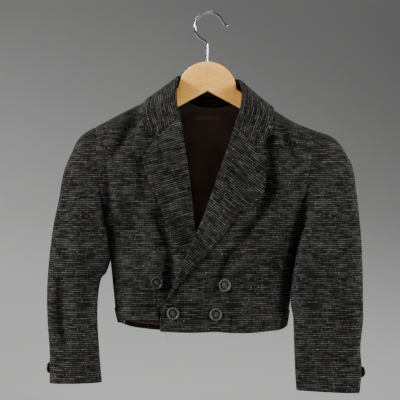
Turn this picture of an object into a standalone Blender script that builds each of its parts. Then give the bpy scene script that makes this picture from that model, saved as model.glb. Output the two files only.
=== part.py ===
"""Child's cropped, double-breasted sport coat on a wooden hanger.

The coat hangs open at the neck, over the arms of the hanger. +X is the wearer's left, -Y the front, +Z up.
The origin is the inside of the hook's bend, where a rail carries it. Every size is in millimetres and
becomes metres when a mesh is made.

The body is one draped form that the front and back panels share. A level runs up it: 0 at the hem, 1 at the
armpit, 2 where the shoulder begins to round, 3 on the shoulder seam. A turn runs round it: 0 at the
wearer's right side, a half turn at the left side.
"""
import math

import bmesh
import bpy
import numpy as np
from mathutils import Vector


def table(columns, *rows):
    """A short table: its column names in one string, then a row for each section."""
    return dict(zip(columns.split(), np.array(rows, float).T))


# Cloth and seams
MM = 0.001
GAP = 0.3
CLOTH = 2.0
DOUBLE_CLOTH = 2.4
LINING = 1.0
BAND_CLOTH = 1.4

# Body: its middle line, the height of the rounded shoulder, how square its sections are
MIDDLE = -10.0
ROOF = 70.0
SQUARENESS = 2.5
SHOULDER = table(
    "x z",
    (-183, -181.5), (-143, -160.5), (-98, -137.5), (-54, -114.5), (-26, -102), (0, -100),
    (28, -106), (54, -122.5), (99, -150.5), (130, -170.5), (160, -183.5), (176, -189))
ARMPIT = table("x z", (-163.5, -342), (146, -345))
ARMHOLE_FRONT = 41.0
ARMHOLE_BACK = 43.0

# Where the body's outline lies, and how deep it is before and behind: rise 0 is the hem, 1 the armpit, 2 the
# shoulder's spring and 3 the shoulder seam
OUTLINE = table(
    "rise right left front back",
    (0.00, -145.0, 123.5, 43, 45),
    (0.15, -150.0, 127.5, 45, 47),
    (0.30, -152.5, 131.0, 47, 48),
    (0.50, -155.5, 135.0, 49, 49),
    (0.70, -158.5, 139.5, 51, 50),
    (1.00, -163.5, 146.0, 53, 51),
    (1.29, -168.0, 149.0, 54, 51),
    (1.69, -174.5, 154.5, 53, 50),
    (2.00, -178.0, 158.5, 52, 50),
    (2.40, -180.0, 166.0, 51, 49),
    (3.00, -182.5, 174.0, 51, 49))

# Hems: the height of each panel's lower edge along its width
UNDER_HEM = table("x z", (-145, -493), (-128, -488), (-80, -487), (8, -491))
OVER_HEM = table("x z", (-77, -504.5), (-30, -506), (12, -505), (48, -507.5), (95, -505), (116, -501.5), (124, -497))
BACK_HEM = table("x z", (-145, -493), (-132, -499), (-96, -506), (-60, -508.5), (60, -508.5), (100, -505), (124, -497))

# Inner edge of each front from the neck to the hem, seen from the front
UNDER_EDGE = table(
    "z x",
    (-500, 8), (-460, 7), (-430, 1), (-395, -9), (-347, -20.5), (-309, -26), (-260, -31.5), (-208, -39.5),
    (-165, -46), (-136, -51), (-112, -51.5))
OVER_EDGE = table(
    "z x",
    (-505, -76.5), (-480, -75.5), (-465, -71.5), (-447, -64), (-411, -48), (-369, -29.5), (-331, -13),
    (-296, 0.5), (-255, 14), (-219, 27.5), (-190, 36.5), (-160, 45.5), (-138, 49.5), (-112, 51.5))

# Lapels: where each row starts on the fold and ends on the free edge, and how high its fold stands
UNDER_LAPEL = table(
    "fold_x fold_z edge_x edge_z crest",
    (-45.6, -165.4, -105.5, -230.8, 6.0),
    (-42.2, -188.0, -101.6, -247.4, 6.5),
    (-39.0, -211.0, -95.3, -266.3, 6.5),
    (-34.6, -238.0, -86.6, -285.2, 6.5),
    (-30.7, -266.3, -77.9, -304.1, 6.0),
    (-27.2, -297.8, -66.9, -335.6, 4.6),
    (-23.0, -329.3, -51.1, -362.4, 3.6),
    (-17.3, -360.0, -37.0, -381.3, 3.4),
    (-8.6, -395.5, -22.0, -408.1, 3.3),
    (0.4, -427.0, -8.5, -435.0, 3.3))
UNDER_NOTCH = (-82.7, -198.5)
OVER_LAPEL = table(
    "fold_x fold_z edge_x edge_z crest",
    (39.8, -179.9, 88.4, -253.8, 6.0),
    (29.0, -214.5, 88.1, -271.1, 7.0),
    (21.2, -235.0, 82.6, -288.4, 7.0),
    (8.8, -271.1, 62.1, -302.5, 7.0),
    (-3.2, -305.7, 43.3, -318.2, 6.5),
    (-17.4, -341.8, 26.0, -345.0, 6.0),
    (-33.3, -378.0, 2.4, -373.3, 5.0),
    (-49.4, -414.1, -24.3, -403.1, 4.2),
    (-60.5, -439.3, -44.8, -425.9, 3.8),
    (-68.0, -457.0, -59.5, -449.0, 3.4))
OVER_NOTCH = (70.9, -212.1)

# Collar, from the right gorge round the back of the neck to the left gorge. Places are given across the
# coat and over the shoulder: 0 on the shoulder seam, below 0 in front of it, above 0 behind it.
COLLAR = table(
    "station base_x base_over base_crest fold_x fold_over crest edge_x edge_over",
    (-4, -45.6, -0.857, -2.0, -45.6, -0.857, 6.0, -103.2, -0.780),
    (-3, -51.2, -0.560, -2.0, -50.6, -0.560, 6.5, -103.5, -0.510),
    (-2, -51.5, 0.000, -2.0, -43.5, 0.000, 12.0, -97.0, 0.000),
    (-1, -36.0, 0.440, -2.0, -27.0, 0.350, 16.0, -69.0, 0.650),
    (0, -2.0, 0.590, -2.0, -2.0, 0.400, 18.0, -2.0, 0.815),
    (1, 33.0, 0.440, -2.0, 24.0, 0.350, 16.0, 66.0, 0.650),
    (2, 51.5, 0.000, -2.0, 43.0, 0.000, 12.0, 98.0, 0.000),
    (3, 49.6, -0.560, -2.0, 49.0, -0.560, 7.0, 98.5, -0.555),
    (4, 39.8, -0.966, -2.0, 39.8, -0.966, 6.0, 97.2, -0.780))
NECK_HALF = 55.6
NECK_DEPTH = 0.66
CREST_RADIUS = 3.0
NOTCH_AT = 0.58
FLAP_PROUD = 3.2
FOLD_ROOM = 4.4

# The upper front is lifted over the under front and its lapel, and comes down again towards the left side
LIFT = 7.0
LIFT_ENDS = 70.0
LIFT_FADE = 55.0
LIFT_TOP = -270.0
LIFT_RISE = 68.0

# Sleeves: each section runs from the outer line to the line that faces the body. Reach is half its depth
# from front to back, and shift moves it back (above 0) or forward (below 0).
RIGHT_SLEEVE = table(
    "outer_x outer_z inner_x inner_z reach shift",
    (-182.5, -181.5, -163.5, -342.0, 42, 0),
    (-198.0, -193.5, -164.2, -352.0, 43, 0),
    (-214.5, -215.5, -163.8, -362.0, 44, -1),
    (-230.5, -247.0, -163.3, -374.0, 45, -2),
    (-240.0, -295.0, -163.0, -390.0, 44, -3),
    (-250.5, -350.0, -168.5, -410.0, 41, -5),
    (-256.5, -400.0, -174.5, -430.0, 38, -6),
    (-258.8, -450.0, -178.5, -465.0, 35, -7),
    (-258.0, -495.0, -178.3, -502.0, 33, -8),
    (-255.2, -537.0, -175.7, -540.0, 31, -9),
    (-254.8, -588.5, -170.9, -587.0, 29, -10))
LEFT_SLEEVE = table(
    "outer_x outer_z inner_x inner_z reach shift",
    (174.0, -189.0, 146.0, -345.0, 42, 0),
    (189.0, -195.0, 147.0, -355.0, 42, -3),
    (207.5, -213.0, 145.0, -366.0, 42, -8),
    (224.5, -237.0, 142.0, -380.0, 41, -14),
    (233.5, -286.0, 139.0, -397.0, 38, -20),
    (239.5, -338.0, 136.0, -420.0, 33, -25),
    (242.5, -388.0, 133.5, -445.0, 29, -26),
    (244.0, -440.0, 132.8, -472.0, 26, -25),
    (244.2, -490.0, 133.5, -503.0, 24, -23),
    (240.0, -535.0, 135.0, -542.0, 21, -21),
    (242.2, -568.0, 136.2, -571.0, 19, -20),
    (239.0, -604.0, 138.3, -599.0, 18, -20))
SLEEVE_SQUARENESS = 2.15
SLEEVE_EASE = 0.13
BACK_SEAM = (-60, -15)
FRONT_SEAM = (165, 180)

# Waistband: its upper edge, from its front end to the side seam and round the back
RIGHT_BAND = table("x z", (-150, -470), (-110, -468.5), (-81.5, -468))
LEFT_BAND = table("x z", (35.5, -480), (80, -479), (127, -474))
BACK_BAND = table("x z", (-150, -470), (-70, -483), (60, -483), (127, -474))

# Buttons: front ones by their place seen from the front, cuff ones by their height on the sleeve
BUTTON_RADIUS = 10.0
BUTTON_HEIGHT = 4.0
BUTTON_SEAT = 0.4
CUFF_BUTTON_RADIUS = 9.0
OVER_BUTTONS = {"button_upper_left": (24.9, -431.9), "button_lower_left": (9.3, -478.3),
                "button_lower_right": (-56.9, -475.9)}
UNDER_BUTTON = {"button_upper_right": (-82.7, -428.6)}
CUFF_BUTTONS = {"button_cuff_right": ("right", 0.935, -16.0), "button_cuff_left": ("left", 0.915, -16.0)}

# Hanger: an arched head over a notch, and two arms that slope down inside the shoulders
WOOD_THICK = 13.0
HEAD_CENTRE = (-3.4, -123.3)
HEAD_RADIUS = 46.8
NOTCH_TOP = (-3.0, -123.6)
NOTCH_SLOPE = 0.54
ARM_REACH = (-166.0, 159.0)
ARM_END_DEPTH = 20.0
ARM_BELOW_SHOULDER = 4.6
WIRE = 4.0
HOOK_RADIUS = 23.2
HEAD_ARC = (171, 9)
ARM_ROOT_DEPTH = 34.0
WOOD_EDGE = 3.5
HOOK_ARC = (20, 226)
HOOK_TIP = ((29.8, -19.0), (27.4, -18.7), (24.9, -17.2), (23.1, -14.8))
HOOK_BENDS = ((-14.2, -39.2), (-10.2, -42.0), (-6.2, -44.6), (-4.2, -48.0), (-3.8, -54.0), (-3.8, -64.0), (-3.8, -75.6))

# Lining: it ends above the hem, inside the armholes and below the neckline
LINING_ROOM = 2.5
LINING_FOOT = 0.045
LINING_MARGIN = 0.03
LINING_DROP = 0.13

# How many rows each piece is drawn with
ARMHOLE_ROWS = 12
SLEEVE_ROWS = np.array([0, 0.015, 0.04, 0.07, 0.1, 0.14, 0.19, 0.25, 0.32, 0.4, 0.48, 0.57, 0.66, 0.75, 0.84, 0.92, 1])
COLLAR_ROWS = np.linspace(-4, 4, 37) * (1 - 0.15 / 400)
LAPEL_ROWS = np.linspace(0.001, 1, 19)



def smooth_curve(at, knots, values):
    """Cubic curve through a table's column, with each slope read from the two neighbours."""
    slope = np.gradient(values, knots)
    inside = np.clip(at, knots[0], knots[-1])
    i = np.clip(np.searchsorted(knots, inside, side="right") - 1, 0, len(knots) - 2)
    width = knots[i + 1] - knots[i]
    f = (inside - knots[i]) / width
    curve = (values[i] * (1 + 2 * f) * (1 - f) ** 2 + values[i + 1] * f * f * (3 - 2 * f)
             + width * (slope[i] * f * (1 - f) ** 2 - slope[i + 1] * f * f * (1 - f)))
    end_slope = np.where(at < knots[0], slope[0], slope[-1])
    return curve + end_slope * (at - inside)


def signed_power(value, power):
    """A power that keeps the sign of its value."""
    return np.sign(value) * np.abs(value) ** power


def smooth_step(value):
    """0 below 0, 1 above 1, with a soft rise between them."""
    f = np.clip(value, 0, 1)
    return f * f * (3 - 2 * f)


def shoulder_line(x):
    """Height of the shoulder seam."""
    return smooth_curve(x, SHOULDER["x"], SHOULDER["z"])


def armpit_line(x):
    """Height of the level that passes through both armpits."""
    return np.interp(x, ARMPIT["x"], ARMPIT["z"])


def chest_share(level):
    """How far up from the armpit to the shoulder's spring a level lies: slow at first, so the armhole is round."""
    return 1 - np.cos(np.clip(level - 1, 0, 1) * math.pi / 2)


def height(x, level, hem):
    """Height of a level: straight up to the armpit, then eased to the spring, then round the shoulder."""
    low = smooth_curve(x, hem["x"], hem["z"])
    pit = armpit_line(x)
    spring = shoulder_line(x) - ROOF
    roof = np.maximum(level - 2, 0) * math.pi / 2
    return (low + (pit - low) * np.minimum(level, 1) + (spring - pit) * chest_share(level)
            + ROOF * np.sin(roof))


def level_at(x, z, hem):
    """The level that passes through a place seen from the front."""
    low = smooth_curve(x, hem["x"], hem["z"])
    pit = armpit_line(x)
    spring = shoulder_line(x) - ROOF
    skirt = (z - low) / (pit - low)
    chest = 1 + np.arccos(1 - np.clip((z - pit) / (spring - pit), 0, 1)) * 2 / math.pi
    roof = 2 + np.arcsin(np.clip((z - spring) / ROOF, 0, 1)) * 2 / math.pi
    return np.where(z < pit, skirt, np.where(z < spring, chest, roof))


def outline(level, name):
    """A measure of the body's outline, read by height between the levels."""
    rise = np.minimum(level, 1) + chest_share(level) + np.maximum(level - 2, 0)
    return smooth_curve(rise, OUTLINE["rise"], OUTLINE[name])


def depth_of(level, face):
    """How deep the body is before (face -1) or behind (face 1) its middle plane."""
    return outline(level, "front" if face < 0 else "back")


def armhole_share(level, face):
    """How far the armhole stands from the side seam's plane, as a share of the body's depth."""
    armhole = ARMHOLE_FRONT if face < 0 else ARMHOLE_BACK
    return armhole * np.sin(np.clip(level - 1, 0, 1) * math.pi / 2) / depth_of(level, face)


def half_width(level, face, on_left):
    """Half width of the section that passes through the body's edge at this level."""
    share = armhole_share(level, face) ** SQUARENESS
    edge = np.where(on_left, outline(level, "left"), outline(level, "right"))
    return np.abs(edge - MIDDLE) / (1 - share) ** (1 / SQUARENESS)


def turn_at(x, level, face):
    """The turn that reaches a given distance across the coat."""
    across = (MIDDLE - x) / half_width(level, face, x > MIDDLE)
    return np.arccos(np.clip(signed_power(across, SQUARENESS / 2), -1, 1))


def side_turn(level, face, on_left):
    """The turn of the body's edge: the side seam, or the armhole above it."""
    turn = np.arcsin(armhole_share(level, face) ** (SQUARENESS / 2))
    return math.pi - turn if on_left else turn


def body(turn, level, face, hem):
    """A point of the body: squared ellipse sections, closed over the shoulder in a quarter round."""
    cosine = signed_power(np.cos(turn), 2 / SQUARENESS)
    x = MIDDLE - cosine * half_width(level, face, np.cos(turn) < 0)
    roof = np.cos(np.maximum(level - 2, 0) * math.pi / 2)
    y = face * depth_of(level, face) * signed_power(np.sin(turn), 2 / SQUARENESS) * roof
    return np.stack(np.broadcast_arrays(x, y, height(x, level, hem)), axis=-1)


def normals(surface, u, v, step=1e-3):
    """Unit normals of a surface of two parameters, from the points a small step to each side."""
    along_u = surface(u + step, v) - surface(u - step, v)
    along_v = surface(u, v + step) - surface(u, v - step)
    normal = np.cross(along_u, along_v)
    return normal / np.linalg.norm(normal, axis=-1, keepdims=True)


def overlap_lift(x, z):
    """How far the upper front is carried out by the front and lapel that lie under it."""
    across = smooth_step((LIFT_ENDS - x) / LIFT_FADE)
    up = smooth_step((LIFT_TOP - z) / LIFT_RISE)
    return LIFT * across * up


def body_layer(turn, level, face, hem, proud, lifted=False):
    """A layer of cloth over the body: its points, moved out by how proud the layer stands."""
    points = body(turn, level, face, hem)
    outward = -face * normals(lambda a, b: body(a, b, face, hem), turn, level)
    if lifted:
        proud = proud + overlap_lift(points[..., 0], points[..., 2])
    return points + outward * np.broadcast_to(proud, points.shape[:-1])[..., None]


def wrapped_layer(x, over, proud, front):
    """A layer placed by x and by how far over the shoulder it lies, before the seam (below 0) or behind it."""
    level = 3 - np.abs(over)
    before = body_layer(turn_at(x, level, -1), level, -1, front["hem"], proud, front["lifted"])
    behind = body_layer(turn_at(x, level, 1), level, 1, BACK_HEM, proud)
    return np.where((over < 0)[..., None], before, behind)


FRONTS = {
    "right": {"hem": UNDER_HEM, "edge": UNDER_EDGE, "lapel": UNDER_LAPEL, "notch": UNDER_NOTCH,
              "band": RIGHT_BAND, "lapel_foot": -427.0, "on_left": False, "lifted": False},
    "left": {"hem": OVER_HEM, "edge": OVER_EDGE, "lapel": OVER_LAPEL, "notch": OVER_NOTCH,
             "band": LEFT_BAND, "lapel_foot": -457.0, "on_left": True, "lifted": True},
}
SLEEVES = {"right": RIGHT_SLEEVE, "left": LEFT_SLEEVE}


def material(name, colour, roughness, metallic=0.0):
    """A plain finish in the piece's own colour."""
    finish = bpy.data.materials.new(name)
    finish.use_nodes = True
    shader = finish.node_tree.nodes["Principled BSDF"]
    shader.inputs["Base Color"].default_value = (*colour, 1)
    shader.inputs["Roughness"].default_value = roughness
    shader.inputs["Metallic"].default_value = metallic
    return finish


def finish_object(name, mesh, finish):
    """Put a mesh in the scene as a named piece, shaded smooth but for its rims."""
    mesh.materials.append(finish)
    mesh.shade_smooth()
    mesh.set_sharp_from_angle(angle=math.radians(50))
    piece = bpy.data.objects.new(name, mesh)
    bpy.context.scene.collection.objects.link(piece)
    return piece


def mesh_of(name, points, faces):
    """A closed mesh in metres with its faces turned outwards."""
    mesh = bpy.data.meshes.new(name)
    mesh.from_pydata((points * MM).tolist(), [], faces)
    cloth = bmesh.new()
    cloth.from_mesh(mesh)
    bmesh.ops.recalc_face_normals(cloth, faces=cloth.faces)
    cloth.to_mesh(mesh)
    cloth.free()
    return mesh


def wall(name, outer, inner, finish):
    """A closed wall between two grids of points, its rims joined."""
    rows, columns = outer.shape[:2]
    points = np.concatenate([outer.reshape(-1, 3), inner.reshape(-1, 3)])
    index = np.arange(rows * columns).reshape(rows, columns)
    under = index + rows * columns

    def cells(grid):
        return np.stack([grid[:-1, :-1], grid[:-1, 1:], grid[1:, 1:], grid[1:, :-1]], -1).reshape(-1, 4)

    def border(grid):
        return np.concatenate([grid[0, :-1], grid[:-1, -1], grid[-1, :0:-1], grid[:0:-1, 0]])

    rim, under_rim = border(index), border(under)
    sides = np.stack([rim, under_rim, np.roll(under_rim, -1), np.roll(rim, -1)], -1)
    faces = np.concatenate([cells(index), cells(under)[:, ::-1], sides]).tolist()
    return finish_object(name, mesh_of(name, points, faces), finish)


def body_levels():
    """The rows of every body panel: the skirt, the chest beside the armhole, the rounded shoulder."""
    return np.concatenate([np.linspace(0, 1, 6, endpoint=False), np.linspace(1, 3, ARMHOLE_ROWS + 1)])


def inner_turn(level, front):
    """The turn of a front's inner edge, found by closing in on its place at each level."""
    hem, edge = front["hem"], front["edge"]
    outwards = 1 if front["on_left"] else -1
    x = np.zeros_like(level)
    for _ in range(12):
        z = height(x, level, hem)
        room = FOLD_ROOM * smooth_step((z - front["lapel_foot"]) / 8 + 1)
        x = smooth_curve(z, edge["z"], edge["x"]) + outwards * room
    return turn_at(x, level, -1)


def make_front(name, side, finish):
    """A front: a grid from the side seam or armhole to the inner edge, and from the hem to the shoulder."""
    front = FRONTS[side]
    level, across = np.meshgrid(body_levels(), np.linspace(0, 1, 14), indexing="ij")
    outer_turn = side_turn(level, -1, front["on_left"])
    turn = outer_turn + (inner_turn(level, front) - outer_turn) * across
    outer, inner = (body_layer(turn, level, -1, front["hem"], proud, front["lifted"])
                    for proud in (0, -CLOTH))
    seam = (0, -GAP / 2, 0)
    return wall(name, outer + seam, inner + seam, finish)


def neckline(x):
    """How far behind the shoulder seam the back's neckline lies."""
    share = np.clip(1 - (np.abs(x) / NECK_HALF) ** 2.2, 0, 1)
    return NECK_DEPTH * share ** 0.6


def back_grid(levels, turns, margin, drop):
    """Turns and levels of a back panel, held in from the armholes and dropped below the neckline."""
    level, across = np.meshgrid(levels, turns, indexing="ij")
    right = side_turn(level, 1, False) + margin
    left = side_turn(level, 1, True) - margin
    turn = right + (left - right) * across
    top = np.full_like(level, 3.0)
    for _ in range(6):
        x = body(turn, top, 1, BACK_HEM)[..., 0]
        top = 3 - neckline(x) - drop
    return turn, np.where(level > 2, 2 + (level - 2) * (top - 2), level)


def make_back(name, finish):
    """The back: one panel from side seam to side seam, hollowed at the top for the neck."""
    turn, level = back_grid(body_levels(), np.linspace(0, 1, 29), 0, 0)
    outer, inner = (body_layer(turn, level, 1, BACK_HEM, proud) for proud in (0, -CLOTH))
    seam = (0, GAP / 2, 0)
    return wall(name, outer + seam, inner + seam, finish)


def make_lining(name, finish):
    """The lining inside the back, which ends a little above the hem and below the shoulder."""
    levels = np.concatenate([np.linspace(LINING_FOOT, 1, 4, endpoint=False), np.linspace(1, 3, 8)])
    turn, level = back_grid(levels, np.linspace(0, 1, 29), LINING_MARGIN, LINING_DROP)
    outer, inner = (body_layer(turn, level, 1, BACK_HEM, -CLOTH - LINING_ROOM - depth) for depth in (0, LINING))
    seam = (0, GAP / 2, 0)
    return wall(name, outer + seam, inner + seam, finish)


def make_front_band(name, side, finish):
    """A strip of waistband on a front, from its free end round to the side seam."""
    front = FRONTS[side]
    band = front["band"]
    end = band["x"][0] if front["on_left"] else band["x"][-1]
    seam_turn = math.pi if front["on_left"] else 0.0
    end_turn = turn_at(np.array(end), np.array(0.1), -1)
    turn, up = np.meshgrid(np.linspace(seam_turn, end_turn, 9), np.linspace(0, 1, 3))
    x = body(turn, np.full_like(turn, 0.1), -1, front["hem"])[..., 0]
    level = up * level_at(x, smooth_curve(x, band["x"], band["z"]), front["hem"])
    outer, inner = (body_layer(turn, level, -1, front["hem"], proud, front["lifted"])
                    for proud in (GAP + BAND_CLOTH, GAP))
    seam = (0, -GAP / 2, 0)
    return wall(name, outer + seam, inner + seam, finish)


def make_back_band(name, finish):
    """The waistband across the back, from side seam to side seam."""
    turn, up = np.meshgrid(np.linspace(0, math.pi, 25), np.linspace(0, 1, 3))
    x = body(turn, np.full_like(turn, 0.1), 1, BACK_HEM)[..., 0]
    level = up * level_at(x, smooth_curve(x, BACK_BAND["x"], BACK_BAND["z"]), BACK_HEM)
    outer, inner = (body_layer(turn, level, 1, BACK_HEM, proud) for proud in (GAP + BAND_CLOTH, GAP))
    seam = (0, GAP / 2, 0)
    return wall(name, outer + seam, inner + seam, finish)


def folded_flap(along, w, rows, end, front, depth):
    """A collar or lapel: w runs up its stand (to 0.1), round its fold (to 0.2) and over to its free edge (1).

    rows give, at each place along the flap, where it is sewn, where it folds and where it ends. end holds
    the notch and how much each place along is bent towards it. depth is how far within the cloth a layer is:
    0 on its outer side, the cloth's thickness on its under side.
    """
    base_x, base_over, base_proud, fold_x, fold_over, crest, edge_x, edge_over = rows(along)
    width = np.hypot(edge_x - fold_x, (edge_over - fold_over) * ROOF * math.pi / 2)
    crest_share = CREST_RADIUS / width
    radius = CREST_RADIUS - depth
    stand = np.clip(1 - w / 0.1, 0, None)
    bend = np.clip(w / 0.1 - 1, 0, 1) * math.pi / 2
    fall = np.maximum(w - 0.2, 0) / 0.8
    turned = crest_share * (1 - radius / CREST_RADIUS * np.cos(bend))
    share = np.where(w < 0.2, turned, crest_share + (1 - crest_share) * fall)
    notch_share = crest_share + (1 - crest_share) * NOTCH_AT
    dip = np.minimum(share / notch_share, (1 - share) / (1 - notch_share))
    notch_x, notch_over, weight = end(along)
    x = fold_x + (edge_x - fold_x) * share + (base_x - fold_x) * stand + notch_x * dip * weight
    over = fold_over + (edge_over - fold_over) * share + (base_over - fold_over) * stand
    over = over + notch_over * dip * weight
    rise = crest - CREST_RADIUS + radius * np.sin(bend)
    slope = FLAP_PROUD - depth + (crest - FLAP_PROUD) * np.maximum(1 - fall, 0) ** 1.3
    proud = np.where(w < 0.2, rise + (base_proud - crest + CREST_RADIUS) * stand, slope)
    return wrapped_layer(x, over, proud, front)


FLAP_COLUMNS = np.array([0, 0.1, 0.14, 0.2, 0.36, 0.52, 0.2 + 0.8 * NOTCH_AT, 0.84, 1])


def make_flap(name, surface, along, finish):
    """A folded flap as a wall between its outer and its under side."""
    along, w = np.meshgrid(along, FLAP_COLUMNS, indexing="ij")
    outer, inner = (surface(along, w, depth) for depth in (0, DOUBLE_CLOTH))
    return wall(name, outer, inner, finish)


def notch_offset(fold, edge, notch):
    """How far the notch lies from the straight line between the fold's end and the free edge's end."""
    width = math.hypot(edge[0] - fold[0], (edge[1] - fold[1]) * ROOF * math.pi / 2)
    share = CREST_RADIUS / width + (1 - CREST_RADIUS / width) * NOTCH_AT
    return notch[0] - fold[0] - (edge[0] - fold[0]) * share, notch[1] - fold[1] - (edge[1] - fold[1]) * share


def over_at(x, z, front):
    """How far over the shoulder a place seen from the front lies."""
    return level_at(x, z, front["hem"]) - 3


def lapel_surface(side):
    """A lapel, from the gorge seam (0) down to the foot of its fold (1)."""
    front = FRONTS[side]
    lapel = front["lapel"]
    knots = np.linspace(0, 1, len(lapel["crest"]))

    def rows(v):
        fold_x, fold_z, edge_x, edge_z, crest = (
            smooth_curve(v, knots, lapel[name]) for name in ("fold_x", "fold_z", "edge_x", "edge_z", "crest"))
        fold_over = over_at(fold_x, fold_z, front)
        return fold_x, fold_over, -CLOTH, fold_x, fold_over, crest, edge_x, over_at(edge_x, edge_z, front)

    top = rows(np.zeros(1))
    notch = (front["notch"][0], over_at(*map(np.array, front["notch"]), front))
    offset = notch_offset((top[3][0], top[4][0]), (top[6][0], top[7][0]), notch)

    def end(v):
        return offset[0], offset[1], 1 - smooth_step(v / 0.3)

    return lambda v, w, depth: folded_flap(v, w, rows, end, front, depth)


def collar_surface():
    """The collar, from its right end (-4) round the back of the neck (0) to its left end (4)."""
    knots = COLLAR["station"]
    ends = {}
    for side, row in (("right", 0), ("left", -1)):
        fold = (COLLAR["fold_x"][row], COLLAR["fold_over"][row])
        edge = (COLLAR["edge_x"][row], COLLAR["edge_over"][row])
        place = FRONTS[side]["notch"]
        ends[side] = notch_offset(fold, edge, (place[0], over_at(*map(np.array, place), FRONTS[side])))

    def rows(s):
        return tuple(smooth_curve(s, knots, COLLAR[name]) for name in (
            "base_x", "base_over", "base_crest", "fold_x", "fold_over", "crest", "edge_x", "edge_over"))

    def end(s):
        notch_x = np.where(s < 0, ends["right"][0], ends["left"][0])
        notch_over = np.where(s < 0, ends["right"][1], ends["left"][1])
        return notch_x, notch_over, smooth_step((np.abs(s) - 3) * 1.0)

    return lambda s, w, depth: folded_flap(s, w, rows, end, FRONTS["right"], depth)


def armhole(ring, side):
    """The armhole's edge, its outward normal and the way the cloth runs on past it.

    ring is an angle: 0 at the top, a half turn at the armpit, reached by the front.
    """
    on_left = side == "left"
    place = np.mod(ring / math.pi, 2)
    towards = 1 if on_left else -1
    found = {}
    for face in (-1, 1):
        level = 3 - 2 * place if face < 0 else 2 * place - 1
        level = np.clip(level, 1, 3)
        turn = side_turn(level, face, on_left)
        points = body(turn, level, face, BACK_HEM)
        normal = -face * normals(lambda a, b: body(a, b, face, BACK_HEM), turn, level)
        onward = towards * (body(turn + 1e-3, level, face, BACK_HEM) - body(turn - 1e-3, level, face, BACK_HEM))
        found[face] = points, normal, onward / np.linalg.norm(onward, axis=-1, keepdims=True)
    front_half = (place < 1)[..., None]
    return tuple(np.where(front_half, found[-1][i], found[1][i]) for i in range(3))


def sleeve_tube(ring, along, side):
    """The sleeve's sections: squared ellipses between the outer line and the line that faces the body."""
    sleeve = SLEEVES[side]
    middle_x = (sleeve["outer_x"] + sleeve["inner_x"]) / 2
    middle_z = (sleeve["outer_z"] + sleeve["inner_z"]) / 2
    knots = np.concatenate([[0], np.cumsum(np.hypot(np.diff(middle_x), np.diff(middle_z)))])
    knots = knots / knots[-1]
    outer_x, outer_z, inner_x, inner_z, reach, shift = (
        smooth_curve(along, knots, sleeve[name])
        for name in ("outer_x", "outer_z", "inner_x", "inner_z", "reach", "shift"))
    cosine = signed_power(np.cos(ring), 2 / SLEEVE_SQUARENESS)
    sine = signed_power(np.sin(ring), 2 / SLEEVE_SQUARENESS)
    x = (outer_x + inner_x) / 2 + (outer_x - inner_x) / 2 * cosine
    z = (outer_z + inner_z) / 2 + (outer_z - inner_z) / 2 * cosine
    return np.stack([x, shift - reach * sine, z], axis=-1)


def sleeve(ring, along, side):
    """A sleeve's outer surface: it leaves the armhole along the body's cloth and eases into its own tube."""
    edge, normal, onward = armhole(ring, side)
    first = sleeve_tube(ring, np.zeros_like(along), side)
    leaving = (sleeve_tube(ring, np.full_like(along, 0.06), side) - first) / 0.06
    speed = np.linalg.norm(leaving, axis=-1, keepdims=True)
    smooth_part = smooth_step((np.cos(ring) + 0.55) / 0.9)[..., None]
    heading = smooth_part * onward + (1 - smooth_part) * leaving / speed
    heading = heading / np.linalg.norm(heading, axis=-1, keepdims=True)
    seam = GAP * (onward + (1 - smooth_part) * normal)
    eased = smooth_step(along / SLEEVE_EASE)[..., None]
    near = edge + seam + heading * speed * along[..., None]
    return near * (1 - eased) + sleeve_tube(ring, along, side) * eased


def make_sleeve(name, side, upper, finish):
    """Half of a sleeve: the top sleeve before its two seams, or the under sleeve behind them."""
    steps = ARMHOLE_ROWS * 2
    segments = (FRONT_SEAM[0] - BACK_SEAM[0]) * steps // 360
    segments = segments if upper else steps - segments
    along, across = np.meshgrid(SLEEVE_ROWS, np.linspace(0, 1, segments + 1), indexing="ij")
    back = np.radians(BACK_SEAM[0] + (BACK_SEAM[1] - BACK_SEAM[0]) * along)
    front = np.radians(FRONT_SEAM[0] + (FRONT_SEAM[1] - FRONT_SEAM[0]) * along)
    start, stop = (back, front) if upper else (front, back + 2 * math.pi)
    parting = GAP / 2 / 40
    start, stop = start + parting, stop - parting
    ring = start + (stop - start) * across
    outwards = 1 if side == "left" else -1
    outer = sleeve(ring, along, side)
    inner = outer - outwards * CLOTH * normals(lambda a, b: sleeve(a, b, side), ring, along)
    return wall(name, outer, inner, finish)


def revolved(name, profile, finish, segments=20):
    """A turned piece about +Z: its profile's first and last points lie on the axis."""
    radius, rise = profile.T
    angle = np.linspace(0, 2 * math.pi, segments, endpoint=False)
    rings = np.stack([radius[1:-1, None] * np.cos(angle), radius[1:-1, None] * np.sin(angle),
                      np.repeat(rise[1:-1, None], segments, 1)], -1)
    points = np.concatenate([rings.reshape(-1, 3), [(0, 0, rise[0]), (0, 0, rise[-1])]])
    index = np.arange(rings.shape[0] * segments).reshape(-1, segments)
    after = np.roll(index, -1, 1)
    quads = np.stack([index[:-1], after[:-1], after[1:], index[1:]], -1).reshape(-1, 4).tolist()
    foot, top = len(points) - 2, len(points) - 1
    fans = [[foot, b, a] for a, b in zip(index[0], after[0])]
    fans += [[top, a, b] for a, b in zip(index[-1], after[-1])]
    return finish_object(name, mesh_of(name, points, quads + fans), finish)


def make_button(name, place, facing, radius, finish):
    """A button: a dished disc with a raised rim, lying on the cloth at a place and facing out."""
    tall = BUTTON_HEIGHT
    profile = np.array([
        (0, 0), (radius * 0.72, 0), (radius, tall * 0.42), (radius * 0.97, tall * 0.78), (radius * 0.86, tall),
        (radius * 0.72, tall * 0.86), (radius * 0.6, tall * 0.52), (radius * 0.3, tall * 0.42), (0, tall * 0.42)])
    button = revolved(name, profile, finish)
    button.location = Vector(place * MM)
    button.rotation_euler = Vector(facing).to_track_quat("Z", "Y").to_euler()
    return button


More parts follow.
